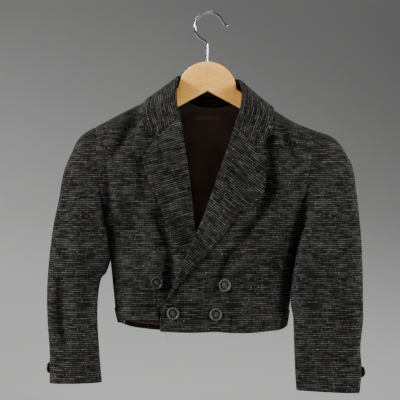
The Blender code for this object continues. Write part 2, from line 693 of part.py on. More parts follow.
def front_seat(x, z, side):
    """Where a button lies on a front, by its place seen from the front, and the way it faces."""
    front = FRONTS[side]
    level = level_at(np.array(x), np.array(z), front["hem"])
    turn = turn_at(np.array(x), level, -1)
    seat, above = (body_layer(turn, level, -1, front["hem"], proud, front["lifted"]) for proud in (0, 1))
    return seat + (above - seat) * BUTTON_SEAT, above - seat


def cuff_seat(side, along, degrees):
    """Where a cuff button lies on a sleeve, and the way it faces."""
    ring, along = np.array(math.radians(degrees)), np.array(along)
    outwards = 1 if side == "left" else -1
    facing = outwards * normals(lambda a, b: sleeve(a, b, side), ring, along)
    return sleeve(ring, along, side) + facing * BUTTON_SEAT, facing


def make_hanger_wood(name, finish):
    """The hanger's wood: a slab whose top is the arms and the arched head, and whose foot is the notch."""
    start, stop = np.radians(HEAD_ARC)
    angle = np.linspace(start, stop, 17)
    head = np.stack([HEAD_CENTRE[0] + HEAD_RADIUS * np.cos(angle), HEAD_CENTRE[1] + HEAD_RADIUS * np.sin(angle)], -1)
    left_arm = np.linspace(head[-1, 0] + 4, ARM_REACH[1], 7)
    right_arm = np.linspace(ARM_REACH[0], head[0, 0] - 4, 7)
    arms = [np.stack([x, shoulder_line(x) - ARM_BELOW_SHOULDER], -1) for x in (right_arm, left_arm)]
    top = np.concatenate([arms[0], head, arms[1]])
    x = top[:, 0]
    notch = NOTCH_TOP[1] - NOTCH_SLOPE * np.abs(x - NOTCH_TOP[0])
    arm_share = np.clip((np.abs(x - NOTCH_TOP[0]) - HEAD_RADIUS) / (ARM_REACH[1] - HEAD_RADIUS), 0, 1)
    arm_depth = ARM_ROOT_DEPTH + (ARM_END_DEPTH - ARM_ROOT_DEPTH) * arm_share
    foot = np.where(arm_share > 0, np.maximum(notch, top[:, 1] - arm_depth), notch)
    rows = []
    for y in (-WOOD_THICK / 2, WOOD_THICK / 2):
        rows.append(np.stack([x, np.full_like(x, y), top[:, 1]], -1))
        rows.append(np.stack([x, np.full_like(x, y), foot], -1))
    front_top, front_foot, back_top, back_foot = rows
    slab = wall(name, np.stack([front_foot, front_top]), np.stack([back_foot, back_top]), finish)
    bevel = slab.modifiers.new("rounded edges", "BEVEL")
    bevel.width = WOOD_EDGE * MM
    bevel.segments = 2
    bevel.limit_method = "ANGLE"
    bevel.angle_limit = math.radians(50)
    return slab


def hook_route():
    """The middle of the hook's wire: its open end, the round of the hook, the shoulder and the stem."""
    rise = WIRE / 2
    angle = np.radians(np.linspace(HOOK_ARC[0], HOOK_ARC[1], 22))
    round_part = np.stack([HOOK_RADIUS * np.cos(angle), HOOK_RADIUS * np.sin(angle) + rise - HOOK_RADIUS], -1)
    bends = np.array(HOOK_BENDS)
    at = np.linspace(0, len(bends) - 1, 15)
    knots = np.arange(len(bends), dtype=float)
    bend_part = np.stack([smooth_curve(at, knots, bends[:, i]) for i in (0, 1)], -1)
    route = np.concatenate([HOOK_TIP, round_part, bend_part[1:]])
    return np.stack([route[:, 0], np.zeros(len(route)), route[:, 1]], -1)


def make_hook(name, finish, sides=10):
    """The hook: round steel wire along its route, both ends cut square."""
    route = hook_route()
    heading = np.gradient(route, axis=0)
    heading = heading / np.linalg.norm(heading, axis=-1, keepdims=True)
    across = np.cross(heading, (0, 1, 0))
    angle = np.linspace(0, 2 * math.pi, sides, endpoint=False)[None, :, None]
    rings = route[:, None] + WIRE / 2 * (np.cos(angle) * across[:, None] + np.sin(angle) * np.array((0, 1, 0)))
    index = np.arange(len(route) * sides).reshape(-1, sides)
    after = np.roll(index, -1, 1)
    quads = np.stack([index[:-1], after[:-1], after[1:], index[1:]], -1).reshape(-1, 4).tolist()
    ends = [index[0].tolist(), index[-1][::-1].tolist()]
    return finish_object(name, mesh_of(name, rings.reshape(-1, 3), quads + ends), finish)


def main():
    """Clear the scene and make every piece."""
    for piece in list(bpy.data.objects):
        bpy.data.objects.remove(piece)
    tweed = material("charcoal tweed", (0.032, 0.032, 0.034), 0.95)
    satin = material("brown lining satin", (0.05, 0.033, 0.026), 0.5)
    horn = material("dark button", (0.03, 0.031, 0.034), 0.3)
    wood = material("pale varnished wood", (0.66, 0.43, 0.22), 0.35)
    steel = material("bright steel", (0.75, 0.75, 0.76), 0.2, 1.0)

    make_back("back", tweed)
    make_lining("back_lining", satin)
    make_front("front_right", "right", tweed)
    make_front("front_left", "left", tweed)
    make_front_band("waistband_right", "right", tweed)
    make_front_band("waistband_left", "left", tweed)
    make_back_band("waistband_back", tweed)
    make_flap("collar", collar_surface(), COLLAR_ROWS, tweed)
    make_flap("lapel_right", lapel_surface("right"), LAPEL_ROWS, tweed)
    make_flap("lapel_left", lapel_surface("left"), LAPEL_ROWS, tweed)
    for side in ("right", "left"):
        make_sleeve("sleeve_top_" + side, side, True, tweed)
        make_sleeve("sleeve_under_" + side, side, False, tweed)
    for name, (x, z) in OVER_BUTTONS.items():
        make_button(name, *front_seat(x, z, "left"), BUTTON_RADIUS, horn)
    for name, (x, z) in UNDER_BUTTON.items():
        make_button(name, *front_seat(x, z, "right"), BUTTON_RADIUS, horn)
    for name, (side, along, degrees) in CUFF_BUTTONS.items():
        make_button(name, *cuff_seat(side, along, degrees), CUFF_BUTTON_RADIUS, horn)
    make_hanger_wood("hanger_wood", wood)
    make_hook("hanger_hook", steel)


main()
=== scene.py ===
# %% [markdown]
# A child's cropped, double-breasted sport coat hangs open on a wooden hanger. The packed model gives its size
# and place, and this lesson dresses it: each wall of cloth gets folds, rounded edges and a woven surface, the
# buttons get rims, holes and thread, and the hanger gets its grain. Sizes are in millimetres and become
# metres when a mesh is made. +X is the wearer's left, -Y the front, +Z up.

# %% Load the packed model
import math

import bmesh
import bpy
import numpy as np
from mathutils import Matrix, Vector


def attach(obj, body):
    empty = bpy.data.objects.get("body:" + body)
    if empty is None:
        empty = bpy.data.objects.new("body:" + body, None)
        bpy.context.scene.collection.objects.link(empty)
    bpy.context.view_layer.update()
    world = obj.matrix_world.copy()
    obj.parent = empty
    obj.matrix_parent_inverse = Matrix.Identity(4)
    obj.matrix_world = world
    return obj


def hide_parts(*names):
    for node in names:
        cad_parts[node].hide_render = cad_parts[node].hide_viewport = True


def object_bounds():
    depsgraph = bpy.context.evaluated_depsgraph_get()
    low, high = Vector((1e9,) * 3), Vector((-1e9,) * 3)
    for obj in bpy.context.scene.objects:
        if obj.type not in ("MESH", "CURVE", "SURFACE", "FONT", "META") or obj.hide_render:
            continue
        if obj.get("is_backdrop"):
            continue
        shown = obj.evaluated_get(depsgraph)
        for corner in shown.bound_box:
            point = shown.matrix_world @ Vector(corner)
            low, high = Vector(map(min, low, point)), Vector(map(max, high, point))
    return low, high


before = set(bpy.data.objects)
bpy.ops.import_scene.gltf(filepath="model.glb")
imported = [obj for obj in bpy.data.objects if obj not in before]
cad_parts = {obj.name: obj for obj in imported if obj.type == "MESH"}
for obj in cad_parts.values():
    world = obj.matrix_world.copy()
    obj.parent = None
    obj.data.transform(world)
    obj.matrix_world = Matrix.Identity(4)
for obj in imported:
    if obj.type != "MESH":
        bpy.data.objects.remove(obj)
cad_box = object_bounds()
MM = 0.001
print("nodes", len(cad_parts), "box", [round(v, 4) for corner in cad_box for v in corner])

# %% [markdown]
# The camera comes first. The photograph was taken level and straight on with a long lens, so a narrow view
# from over three metres away keeps the sleeves and the shoulders in the same proportion. A wide lens close by
# would swell whatever stands nearest to it.

# %% The camera
CAMERA_PLACE = (-0.0149, -3.2, -0.2978)
view_lens = bpy.data.cameras.new("camera")
view_lens.lens = 180
view_lens.sensor_width = 36
view_lens.clip_end = 60
camera = bpy.data.objects.new("camera", view_lens)
camera.location = CAMERA_PLACE
camera.rotation_euler = (math.radians(90), 0, 0)
bpy.context.scene.collection.objects.link(camera)
bpy.context.scene.camera = camera
print("camera", CAMERA_PLACE, "lens", view_lens.lens)

# %% [markdown]
# A tailor describes a coat by a few measures at a few heights, and so does this lesson. The tables are the
# packed model's own, so that the cloth drawn here lies where its solids are: a level runs up the body, 0 at
# the hem, 1 at the armpit, 2 where the shoulder begins to round and 3 on the shoulder seam, and a turn runs
# round it, 0 at the wearer's right side and a half turn at the left. Reading points back from the model
# would be the other way, but a formula can be asked for as many points as a fold needs. GAP is what the
# solids leave between sewn pieces, MIDDLE the body's middle, and ROOF the height of the shoulder's round.

# %% Tables of the coat's measures
def table(columns, *rows):
    """A short table: its column names in one string, then a row for each section."""
    return dict(zip(columns.split(), np.array(rows, float).T))


GAP = 0.3
CLOTH = 2.0
DOUBLE_CLOTH = 2.4
LINING = 1.0
BAND_CLOTH = 1.4
MIDDLE = -10.0
ROOF = 70.0
SQUARENESS = 2.5
SHOULDER = table(
    "x z",
    (-183, -181.5), (-143, -160.5), (-98, -137.5), (-54, -114.5), (-26, -102), (0, -100),
    (28, -106), (54, -122.5), (99, -150.5), (130, -170.5), (160, -183.5), (176, -189))
ARMPIT = table("x z", (-163.5, -342), (146, -345))
ARMHOLE_FRONT = 41.0
ARMHOLE_BACK = 43.0
OUTLINE = table(
    "rise right left front back",
    (0.00, -145.0, 123.5, 43, 45),
    (0.15, -150.0, 127.5, 45, 47),
    (0.30, -152.5, 131.0, 47, 48),
    (0.50, -155.5, 135.0, 49, 49),
    (0.70, -158.5, 139.5, 51, 50),
    (1.00, -163.5, 146.0, 53, 51),
    (1.29, -168.0, 149.0, 54, 51),
    (1.69, -174.5, 154.5, 53, 50),
    (2.00, -178.0, 158.5, 52, 50),
    (2.40, -180.0, 166.0, 51, 49),
    (3.00, -182.5, 174.0, 51, 49))
UNDER_HEM = table("x z", (-145, -493), (-128, -488), (-80, -487), (8, -491))
OVER_HEM = table(
    "x z", (-77, -504.5), (-30, -506), (12, -505), (48, -507.5), (95, -505), (116, -501.5), (124, -497))
BACK_HEM = table(
    "x z", (-145, -493), (-132, -499), (-96, -506), (-60, -508.5), (60, -508.5), (100, -505), (124, -497))
UNDER_EDGE = table(
    "z x",
    (-500, 8), (-460, 7), (-430, 1), (-395, -9), (-347, -20.5), (-309, -26), (-260, -31.5), (-208, -39.5),
    (-165, -46), (-136, -51), (-112, -51.5))
OVER_EDGE = table(
    "z x",
    (-505, -76.5), (-480, -75.5), (-465, -71.5), (-447, -64), (-411, -48), (-369, -29.5), (-331, -13),
    (-296, 0.5), (-255, 14), (-219, 27.5), (-190, 36.5), (-160, 45.5), (-138, 49.5), (-112, 51.5))
print("levels from hem to shoulder:", BACK_HEM["z"].min(), "to", SHOULDER["z"].max(), "mm")

# %% Tables of the lapels and the collar
UNDER_LAPEL = table(
    "fold_x fold_z edge_x edge_z crest",
    (-45.6, -165.4, -105.5, -230.8, 6.0),
    (-42.2, -188.0, -101.6, -247.4, 6.5),
    (-39.0, -211.0, -95.3, -266.3, 6.5),
    (-34.6, -238.0, -86.6, -285.2, 6.5),
    (-30.7, -266.3, -77.9, -304.1, 6.0),
    (-27.2, -297.8, -66.9, -335.6, 4.6),
    (-23.0, -329.3, -51.1, -362.4, 3.6),
    (-17.3, -360.0, -37.0, -381.3, 3.4),
    (-8.6, -395.5, -22.0, -408.1, 3.3),
    (0.4, -427.0, -8.5, -435.0, 3.3))
UNDER_NOTCH = (-82.7, -198.5)
OVER_LAPEL = table(
    "fold_x fold_z edge_x edge_z crest",
    (39.8, -179.9, 88.4, -253.8, 6.0),
    (29.0, -214.5, 88.1, -271.1, 7.0),
    (21.2, -235.0, 82.6, -288.4, 7.0),
    (8.8, -271.1, 62.1, -302.5, 7.0),
    (-3.2, -305.7, 43.3, -318.2, 6.5),
    (-17.4, -341.8, 26.0, -345.0, 6.0),
    (-33.3, -378.0, 2.4, -373.3, 5.0),
    (-49.4, -414.1, -24.3, -403.1, 4.2),
    (-60.5, -439.3, -44.8, -425.9, 3.8),
    (-68.0, -457.0, -59.5, -449.0, 3.4))
OVER_NOTCH = (70.9, -212.1)
COLLAR = table(
    "station base_x base_over base_crest fold_x fold_over crest edge_x edge_over",
    (-4, -45.6, -0.857, -2.0, -45.6, -0.857, 6.0, -103.2, -0.780),
    (-3, -51.2, -0.560, -2.0, -50.6, -0.560, 6.5, -103.5, -0.510),
    (-2, -51.5, 0.000, -2.0, -43.5, 0.000, 12.0, -97.0, 0.000),
    (-1, -36.0, 0.440, -2.0, -27.0, 0.350, 16.0, -69.0, 0.650),
    (0, -2.0, 0.590, -2.0, -2.0, 0.400, 18.0, -2.0, 0.815),
    (1, 33.0, 0.440, -2.0, 24.0, 0.350, 16.0, 66.0, 0.650),
    (2, 51.5, 0.000, -2.0, 43.0, 0.000, 12.0, 98.0, 0.000),
    (3, 49.6, -0.560, -2.0, 49.0, -0.560, 7.0, 98.5, -0.555),
    (4, 39.8, -0.966, -2.0, 39.8, -0.966, 6.0, 97.2, -0.780))
NECK_HALF = 55.6
NECK_DEPTH = 0.66
CREST_RADIUS = 3.0
NOTCH_AT = 0.58
FLAP_PROUD = 3.2
FOLD_ROOM = 4.4
LIFT = 7.0
LIFT_ENDS = 70.0
LIFT_FADE = 55.0
LIFT_TOP = -270.0
LIFT_RISE = 68.0
print("lapels fold from", UNDER_LAPEL["fold_z"][0], "to", OVER_LAPEL["fold_z"][-1], "mm")

# %% Tables of the sleeves, waistband, buttons and lining
RIGHT_SLEEVE = table(
    "outer_x outer_z inner_x inner_z reach shift",
    (-182.5, -181.5, -163.5, -342.0, 42, 0),
    (-198.0, -193.5, -164.2, -352.0, 43, 0),
    (-214.5, -215.5, -163.8, -362.0, 44, -1),
    (-230.5, -247.0, -163.3, -374.0, 45, -2),
    (-240.0, -295.0, -163.0, -390.0, 44, -3),
    (-250.5, -350.0, -168.5, -410.0, 41, -5),
    (-256.5, -400.0, -174.5, -430.0, 38, -6),
    (-258.8, -450.0, -178.5, -465.0, 35, -7),
    (-258.0, -495.0, -178.3, -502.0, 33, -8),
    (-255.2, -537.0, -175.7, -540.0, 31, -9),
    (-254.8, -588.5, -170.9, -587.0, 29, -10))
LEFT_SLEEVE = table(
    "outer_x outer_z inner_x inner_z reach shift",
    (174.0, -189.0, 146.0, -345.0, 42, 0),
    (189.0, -195.0, 147.0, -355.0, 42, -3),
    (207.5, -213.0, 145.0, -366.0, 42, -8),
    (224.5, -237.0, 142.0, -380.0, 41, -14),
    (233.5, -286.0, 139.0, -397.0, 38, -20),
    (239.5, -338.0, 136.0, -420.0, 33, -25),
    (242.5, -388.0, 133.5, -445.0, 29, -26),
    (244.0, -440.0, 132.8, -472.0, 26, -25),
    (244.2, -490.0, 133.5, -503.0, 24, -23),
    (240.0, -535.0, 135.0, -542.0, 21, -21),
    (242.2, -568.0, 136.2, -571.0, 19, -20),
    (239.0, -604.0, 138.3, -599.0, 18, -20))
SLEEVE_SQUARENESS = 2.15
SLEEVE_EASE = 0.13
BACK_SEAM = (-60, -15)
FRONT_SEAM = (165, 180)
RIGHT_BAND = table("x z", (-150, -470), (-110, -468.5), (-81.5, -468))
LEFT_BAND = table("x z", (35.5, -480), (80, -479), (127, -474))
BACK_BAND = table("x z", (-150, -470), (-70, -483), (60, -483), (127, -474))
BUTTON_RADIUS = 10.0
BUTTON_HEIGHT = 4.0
BUTTON_SEAT = 0.4
CUFF_BUTTON_RADIUS = 9.0
FRONT_BUTTONS = {
    "button_upper_left": ("left", 24.9, -431.9),
    "button_lower_left": ("left", 9.3, -478.3),
    "button_lower_right": ("left", -56.9, -475.9),
    "button_upper_right": ("right", -82.7, -428.6)}
CUFF_BUTTONS = {"button_cuff_right": ("right", 0.935, -16.0), "button_cuff_left": ("left", 0.915, -16.0)}
LINING_ROOM = 2.5
LINING_FOOT = 0.045
LINING_MARGIN = 0.03
LINING_DROP = 0.13
print("sleeves end at", RIGHT_SLEEVE["outer_z"][-1], "and", LEFT_SLEEVE["outer_z"][-1], "mm")

# %% [markdown]
# Cloth that hangs is never smooth. From each point that carries it, a soft trough runs to where the cloth is
# free, and a rounded ridge stands beside it. A cloth simulation could find such folds, but not the ones of
# this coat, so they are listed one by one: each is a line seen from the front or the back, a half width, and
# how far it stands out (above 0) or sinks in (below 0). They differ in length, depth and spacing.

# %% Creases of the body, front and back
FRONT_CREASES = (
    (-12.0, 12, ((-106, -130), (-120, -172), (-140, -206), (-168, -250))),
    (3.0, 10, ((-98, -168), (-112, -204), (-124, -236))),
    (-5.4, 8, ((-162, -204), (-150, -242), (-148, -282))),
    (3.0, 18, ((-131, -246), (-128, -300), (-122, -360))),
    (-3.2, 8, ((-158, -362), (-128, -392), (-96, -412))),
    (2.4, 8, ((-150, -382), (-118, -408), (-96, -440))),
    (-2.8, 7, ((-150, -430), (-122, -440), (-98, -462))),
    (-7.4, 9, ((102, -150), (120, -200), (136, -230), (152, -262))),
    (2.8, 8, ((94, -178), (108, -210), (122, -240))),
    (-5.6, 9, ((28, -384), (15, -430), (13, -462), (16, -510))),
    (6.2, 11, ((122, -212), (127, -280), (124, -340), (108, -410))),
    (3.6, 9, ((62, -366), (46, -392), (36, -430), (35, -470))),
    (-4.0, 8, ((112, -372), (96, -408), (88, -452), (90, -496))),
    (-2.9, 7, ((78, -392), (66, -432), (64, -472))),
    (-3.0, 7, ((-46, -420), (-26, -436), (-6, -446))),
    (2.2, 7, ((-40, -446), (-20, -456), (4, -462))),
    (-2.8, 11, ((30, -262), (50, -274), (72, -286))),
    (-2.4, 8, ((20, -312), (44, -322), (66, -324))),
    (-2.2, 9, ((-48, -226), (-62, -246), (-76, -262))))
PANEL_CREASES = {
    "right": (
        (-8.5, 11, ((-92, -280), (-74, -336), (-60, -384), (-60, -424), (-64, -466))),
        (-4.0, 9, ((-114, -226), (-106, -276), (-94, -316))),
        (-7.0, 8, ((-167, -214), (-163, -250), (-159, -296), (-155, -330))),
        (3.2, 7, ((-166, -318), (-164, -334), (-162, -352)))),
    "left": (
        (-9.5, 15, ((86, -140), (91, -190), (92, -236), (90, -276), (84, -310))),
        (-12.0, 13, (
            (94, -225), (91, -275), (80, -310), (61, -335), (41, -360), (24, -386), (16, -420), (13, -474))),
        (4.0, 8, ((70, -300), (48, -330), (28, -354), (10, -382))),
        (3.2, 7, ((150, -324), (147, -339), (144, -356))))}
BACK_CREASES = (
    (-4.4, 11, ((-152, -222), (-132, -286), (-104, -352), (-88, -410))),
    (2.8, 13, ((-122, -236), (-104, -304), (-76, -372))),
    (-4.8, 10, ((128, -226), (112, -290), (84, -346), (62, -420))),
    (3.0, 12, ((100, -232), (88, -306), (58, -368))),
    (-2.8, 11, ((-52, -282), (-38, -356), (-44, -430), (-40, -492))),
    (-3.2, 9, ((34, -300), (30, -372), (22, -440), (26, -500))),
    (2.2, 10, ((-14, -260), (-8, -340), (-12, -420))),
    (-2.0, 7, ((-62, -160), (-30, -170), (6, -168), (48, -164))),
    (-1.8, 8, ((-128, -420), (-104, -442), (-94, -486))),
    (-2.1, 8, ((108, -410), (96, -446), (98, -492))))
print("creases:", len(FRONT_CREASES), "before,", len(BACK_CREASES), "behind")

# %% Creases of the sleeves
SLEEVE_CREASES = {
    ("right", -1): (
        (-8.6, 9, ((-234, -386), (-236, -448), (-232, -500), (-222, -560))),
        (4.6, 9, ((-208, -262), (-209, -350), (-209, -452), (-204, -560))),
        (-2.4, 7, ((-226, -272), (-230, -336), (-226, -404))),
        (-3.0, 6, ((-176, -354), (-192, -384), (-208, -396))),
        (-2.6, 5, ((-180, -392), (-194, -414), (-212, -424))),
        (-2.6, 9, ((-190, -206), (-190, -250), (-186, -300))),
        (-2.4, 6, ((-190, -470), (-194, -520), (-190, -572))),
        (1.6, 5, ((-248, -430), (-249, -480), (-246, -530)))),
    ("right", 1): (
        (-3.0, 6, ((-250, -392), (-226, -402), (-200, -404))),
        (-3.4, 6, ((-252, -420), (-230, -428), (-206, -424))),
        (-2.5, 6, ((-250, -450), (-226, -452), (-202, -444))),
        (2.2, 12, ((-214, -250), (-218, -320), (-222, -384))),
        (-2.7, 8, ((-212, -464), (-208, -520), (-212, -576)))),
    ("left", -1): (
        (2.4, 14, ((184, -222), (194, -290), (196, -372), (190, -460))),
        (-3.8, 9, ((164, -362), (168, -420), (172, -500), (166, -566))),
        (-2.5, 8, ((216, -330), (214, -400), (209, -470), (212, -540))),
        (-3.0, 6, ((150, -356), (164, -380), (182, -394))),
        (-2.2, 6, ((146, -398), (160, -414), (178, -422))),
        (-2.5, 8, ((180, -206), (172, -244), (166, -292))),
        (-2.2, 5, ((238, -520), (224, -532), (208, -534)))),
    ("left", 1): (
        (-3.0, 6, ((236, -384), (212, -396), (186, -400))),
        (-3.3, 6, ((238, -414), (216, -424), (190, -420))),
        (-2.4, 6, ((236, -446), (212, -448), (190, -440))),
        (2.1, 12, ((198, -246), (204, -316), (208, -378))),
        (-2.6, 8, ((196, -462), (190, -520), (194, -580))))}
SNUG_SLEEVES = {
    "right": (6.6, 8, ((-164, -336), (-164, -350), (-163, -372), (-164, -396), (-169, -424))),
    "left": (5.0, 8, ((146, -338), (145, -366), (139, -397), (135, -432), (132, -486)))}
print("creases on the sleeves:", {key: len(rows) for key, rows in SLEEVE_CREASES.items()})

# %% [markdown]
# Three small curves serve every table here: one that passes smoothly through its knots, one that rises
# softly from 0 to 1, and a power that keeps its sign, with which a circle becomes a rounded square.

# %% Small curves
def smooth_curve(at, knots, values):
    """Cubic through a table's column: each stretch joins two knots, sloped by their neighbours."""
    slope = np.gradient(values, knots)
    inside = np.clip(at, knots[0], knots[-1])
    i = np.clip(np.searchsorted(knots, inside, side="right") - 1, 0, len(knots) - 2)
    width = knots[i + 1] - knots[i]
    f = (inside - knots[i]) / width
    curve = (values[i] * (1 + 2 * f) * (1 - f) ** 2 + values[i + 1] * f * f * (3 - 2 * f)
             + width * (slope[i] * f * (1 - f) ** 2 - slope[i + 1] * f * f * (1 - f)))
    end_slope = np.where(at < knots[0], slope[0], slope[-1])
    return curve + end_slope * (at - inside)


def signed_power(value, power):
    """The value's size to a power, times its sign."""
    return np.sign(value) * np.abs(value) ** power


def smooth_step(value):
    """0 below 0, 1 above 1, and three squares less two cubes between them."""
    f = np.clip(value, 0, 1)
    return f * f * (3 - 2 * f)


def closer_at_ends(count, pull=0.8):
    """Numbers from 0 to 1 that crowd at both ends: an even count less a share of one turn of a sine."""
    even = np.linspace(0, 1, count)
    return even - pull * np.sin(2 * math.pi * even) / (2 * math.pi)


print("a soft rise:", smooth_step(np.linspace(0, 1, 5)).round(2))

# %% [markdown]
# A fold's cross-section is a bell, and it dies away towards both ends of its line. Measuring each point's
# distance to the line gives that in one sum for the whole grid. A long, low swell is added everywhere,
# because the cloth between the folds isn't flat either.

# %% Height of the folds
def crease_height(x, z, creases, fading=0.3):
    """Sum of depth times e to the minus square of distance over half width, faded at both ends."""
    total = np.zeros(np.broadcast(x, z).shape)
    for depth, half, line in creases:
        line = np.array(line, float)
        knots = np.arange(len(line), dtype=float)
        fine = np.linspace(0, len(line) - 1, 5 * (len(line) - 1) + 1)
        points = np.stack([smooth_curve(fine, knots, line[:, i]) for i in (0, 1)], -1)
        nearest = np.full(total.shape, 1e9)
        place = np.zeros(total.shape)
        for i in range(len(points) - 1):
            step = points[i + 1] - points[i]
            reached = (x - points[i, 0]) * step[0] + (z - points[i, 1]) * step[1]
            share = np.clip(reached / (step @ step), 0, 1)
            away = np.hypot(x - points[i, 0] - share * step[0], z - points[i, 1] - share * step[1])
            closer = away < nearest
            nearest = np.where(closer, away, nearest)
            place = np.where(closer, (i + share) / (len(points) - 1), place)
        fade = smooth_step(place / fading) * smooth_step((1 - place) / fading)
        total = total + depth * np.exp(-(nearest / half) ** 2) * fade
    return total


def swell(x, z):
    """Products of slow sines across and up the cloth, about half a millimetre high at most."""
    slow = 0.38 * np.sin(x / 23 + z / 61 + 1.3) * np.sin(z / 31 - x / 87 + 0.4)
    quick = 0.16 * np.sin(x / 9.7 + z / 43 + 2.1) * np.sin(z / 12.3 + x / 51 + 0.7)
    return slow + quick


print("deepest fold behind:", crease_height(np.array([-104.0]), np.array([-352.0]), BACK_CREASES).round(2))

# %% [markdown]
# The body is one draped form that the front and back panels share. Its sections are squared ellipses, which
# is how cloth hangs over a flat hanger: nearly flat before and behind, with a quick turn at each side. Above
# the armpit the section is cut off at the armhole, and over the shoulder it closes in a quarter round.

# %% The body's form
def shoulder_line(x):
    """Height of the shoulder seam: the smooth curve through its table."""
    return smooth_curve(x, SHOULDER["x"], SHOULDER["z"])


def armpit_line(x):
    """Height of the level that passes through both armpits: a straight line between them."""
    return np.interp(x, ARMPIT["x"], ARMPIT["z"])


def chest_share(level):
    """How far up from the armpit to the shoulder's spring a level lies: one less a cosine, slow at first."""
    return 1 - np.cos(np.clip(level - 1, 0, 1) * math.pi / 2)


def height(x, level, hem):
    """Height of a level: straight up to the armpit, eased to the spring, then a sine round the shoulder."""
    low = smooth_curve(x, hem["x"], hem["z"])
    pit = armpit_line(x)
    spring = shoulder_line(x) - ROOF
    roof = np.maximum(level - 2, 0) * math.pi / 2
    return (low + (pit - low) * np.minimum(level, 1) + (spring - pit) * chest_share(level)
            + ROOF * np.sin(roof))


def level_at(x, z, hem):
    """The level that passes through a place seen from the front: height() turned round, part by part."""
    low = smooth_curve(x, hem["x"], hem["z"])
    pit = armpit_line(x)
    spring = shoulder_line(x) - ROOF
    skirt = (z - low) / (pit - low)
    chest = 1 + np.arccos(1 - np.clip((z - pit) / (spring - pit), 0, 1)) * 2 / math.pi
    roof = 2 + np.arcsin(np.clip((z - spring) / ROOF, 0, 1)) * 2 / math.pi
    return np.where(z < pit, skirt, np.where(z < spring, chest, roof))


def outline(level, name):
    """A measure of the outline's table, read by the height between the levels."""
    rise = np.minimum(level, 1) + chest_share(level) + np.maximum(level - 2, 0)
    return smooth_curve(rise, OUTLINE["rise"], OUTLINE[name])


def depth_of(level, face):
    """How deep the body is before (face -1) or behind (face 1) its middle plane."""
    return outline(level, "front" if face < 0 else "back")


print("half depth at the armpit:", depth_of(np.array([1.0]), -1), depth_of(np.array([1.0]), 1))

# %% Sections of the body
def armhole_share(level, face):
    """The armhole's distance from the side seam's plane over the body's depth: a sine above the armpit."""
    armhole = ARMHOLE_FRONT if face < 0 else ARMHOLE_BACK
    return armhole * np.sin(np.clip(level - 1, 0, 1) * math.pi / 2) / depth_of(level, face)


def half_width(level, face, on_left):
    """Half width of the whole section whose cut edge is the outline: the edge over the squared root left."""
    share = armhole_share(level, face) ** SQUARENESS
    edge = np.where(on_left, outline(level, "left"), outline(level, "right"))
    return np.abs(edge - MIDDLE) / (1 - share) ** (1 / SQUARENESS)


def turn_at(x, level, face):
    """The turn that reaches a distance across the coat: the inverse of the section's powered cosine."""
    across = (MIDDLE - x) / half_width(level, face, x > MIDDLE)
    return np.arccos(np.clip(signed_power(across, SQUARENESS / 2), -1, 1))


def side_turn(level, face, on_left):
    """The turn of the body's edge: the side seam, or the armhole above it."""
    turn = np.arcsin(armhole_share(level, face) ** (SQUARENESS / 2))
    return math.pi - turn if on_left else turn


def body(turn, level, face, hem):
    """A squared ellipse at each level: cosine and sine to a power, times half width and depth."""
    cosine = signed_power(np.cos(turn), 2 / SQUARENESS)
    x = MIDDLE - cosine * half_width(level, face, np.cos(turn) < 0)
    roof = np.cos(np.maximum(level - 2, 0) * math.pi / 2)
    y = face * depth_of(level, face) * signed_power(np.sin(turn), 2 / SQUARENESS) * roof
    return np.stack(np.broadcast_arrays(x, y, height(x, level, hem)), axis=-1)


def normals(surface, u, v, step=1e-3):
    """Unit cross product of the two small steps along a surface's parameters."""
    along_u = surface(u + step, v) - surface(u - step, v)
    along_v = surface(u, v + step) - surface(u, v - step)
    normal = np.cross(along_u, along_v)
    return normal / np.linalg.norm(normal, axis=-1, keepdims=True)


print("side seam at the hem:", body(np.array([0.0]), np.array([0.0]), -1, BACK_HEM).round(1))

# %% [markdown]
# Every panel, lapel and band is a layer of that form: the same points, moved out by how proud the layer
# stands. The folds are added to that amount, so that whatever lies on a panel rides over its folds with it.
# They fade out at the side seams, armholes and shoulder seams, where two pieces have to meet.

# %% Layers of cloth on the body
SIDE_FADE = 0.25
SHOULDER_FADE = 0.4


def overlap_lift(x, z):
    """How far the upper front is carried out by what lies under it: a soft rise across times one down."""
    across = smooth_step((LIFT_ENDS - x) / LIFT_FADE)
    up = smooth_step((LIFT_TOP - z) / LIFT_RISE)
    return LIFT * across * up


def fold_height(points, turn, level, face):
    """Folds and swell at a point of the body, times a soft rise away from each seam."""
    inwards = np.minimum(turn - side_turn(level, face, False), side_turn(level, face, True) - turn)
    fade = smooth_step(inwards / SIDE_FADE) * smooth_step((3 - level) / SHOULDER_FADE)
    x, z = points[..., 0], points[..., 2]
    creases = FRONT_CREASES if face < 0 else BACK_CREASES
    return (crease_height(x, z, creases) + swell(x + 40 * face, z)) * fade


def body_layer(turn, level, face, hem, proud, lifted=False):
    """The body's points plus their normals times how proud the layer stands, its lift and its folds."""
    points = body(turn, level, face, hem)
    outward = -face * normals(lambda a, b: body(a, b, face, hem), turn, level)
    proud = proud + fold_height(points, turn, level, face)
    if lifted:
        proud = proud + overlap_lift(points[..., 0], points[..., 2])
    return points + outward * np.broadcast_to(proud, points.shape[:-1])[..., None]


def wrapped_layer(x, over, proud, front):
    """A layer placed by x and by how far over the shoulder it lies: below 0 is before the seam."""
    level = 3 - np.abs(over)
    before = body_layer(turn_at(x, level, -1), level, -1, front["hem"], proud, front["lifted"])
    behind = body_layer(turn_at(x, level, 1), level, 1, BACK_HEM, proud)
    return np.where((over < 0)[..., None], before, behind)


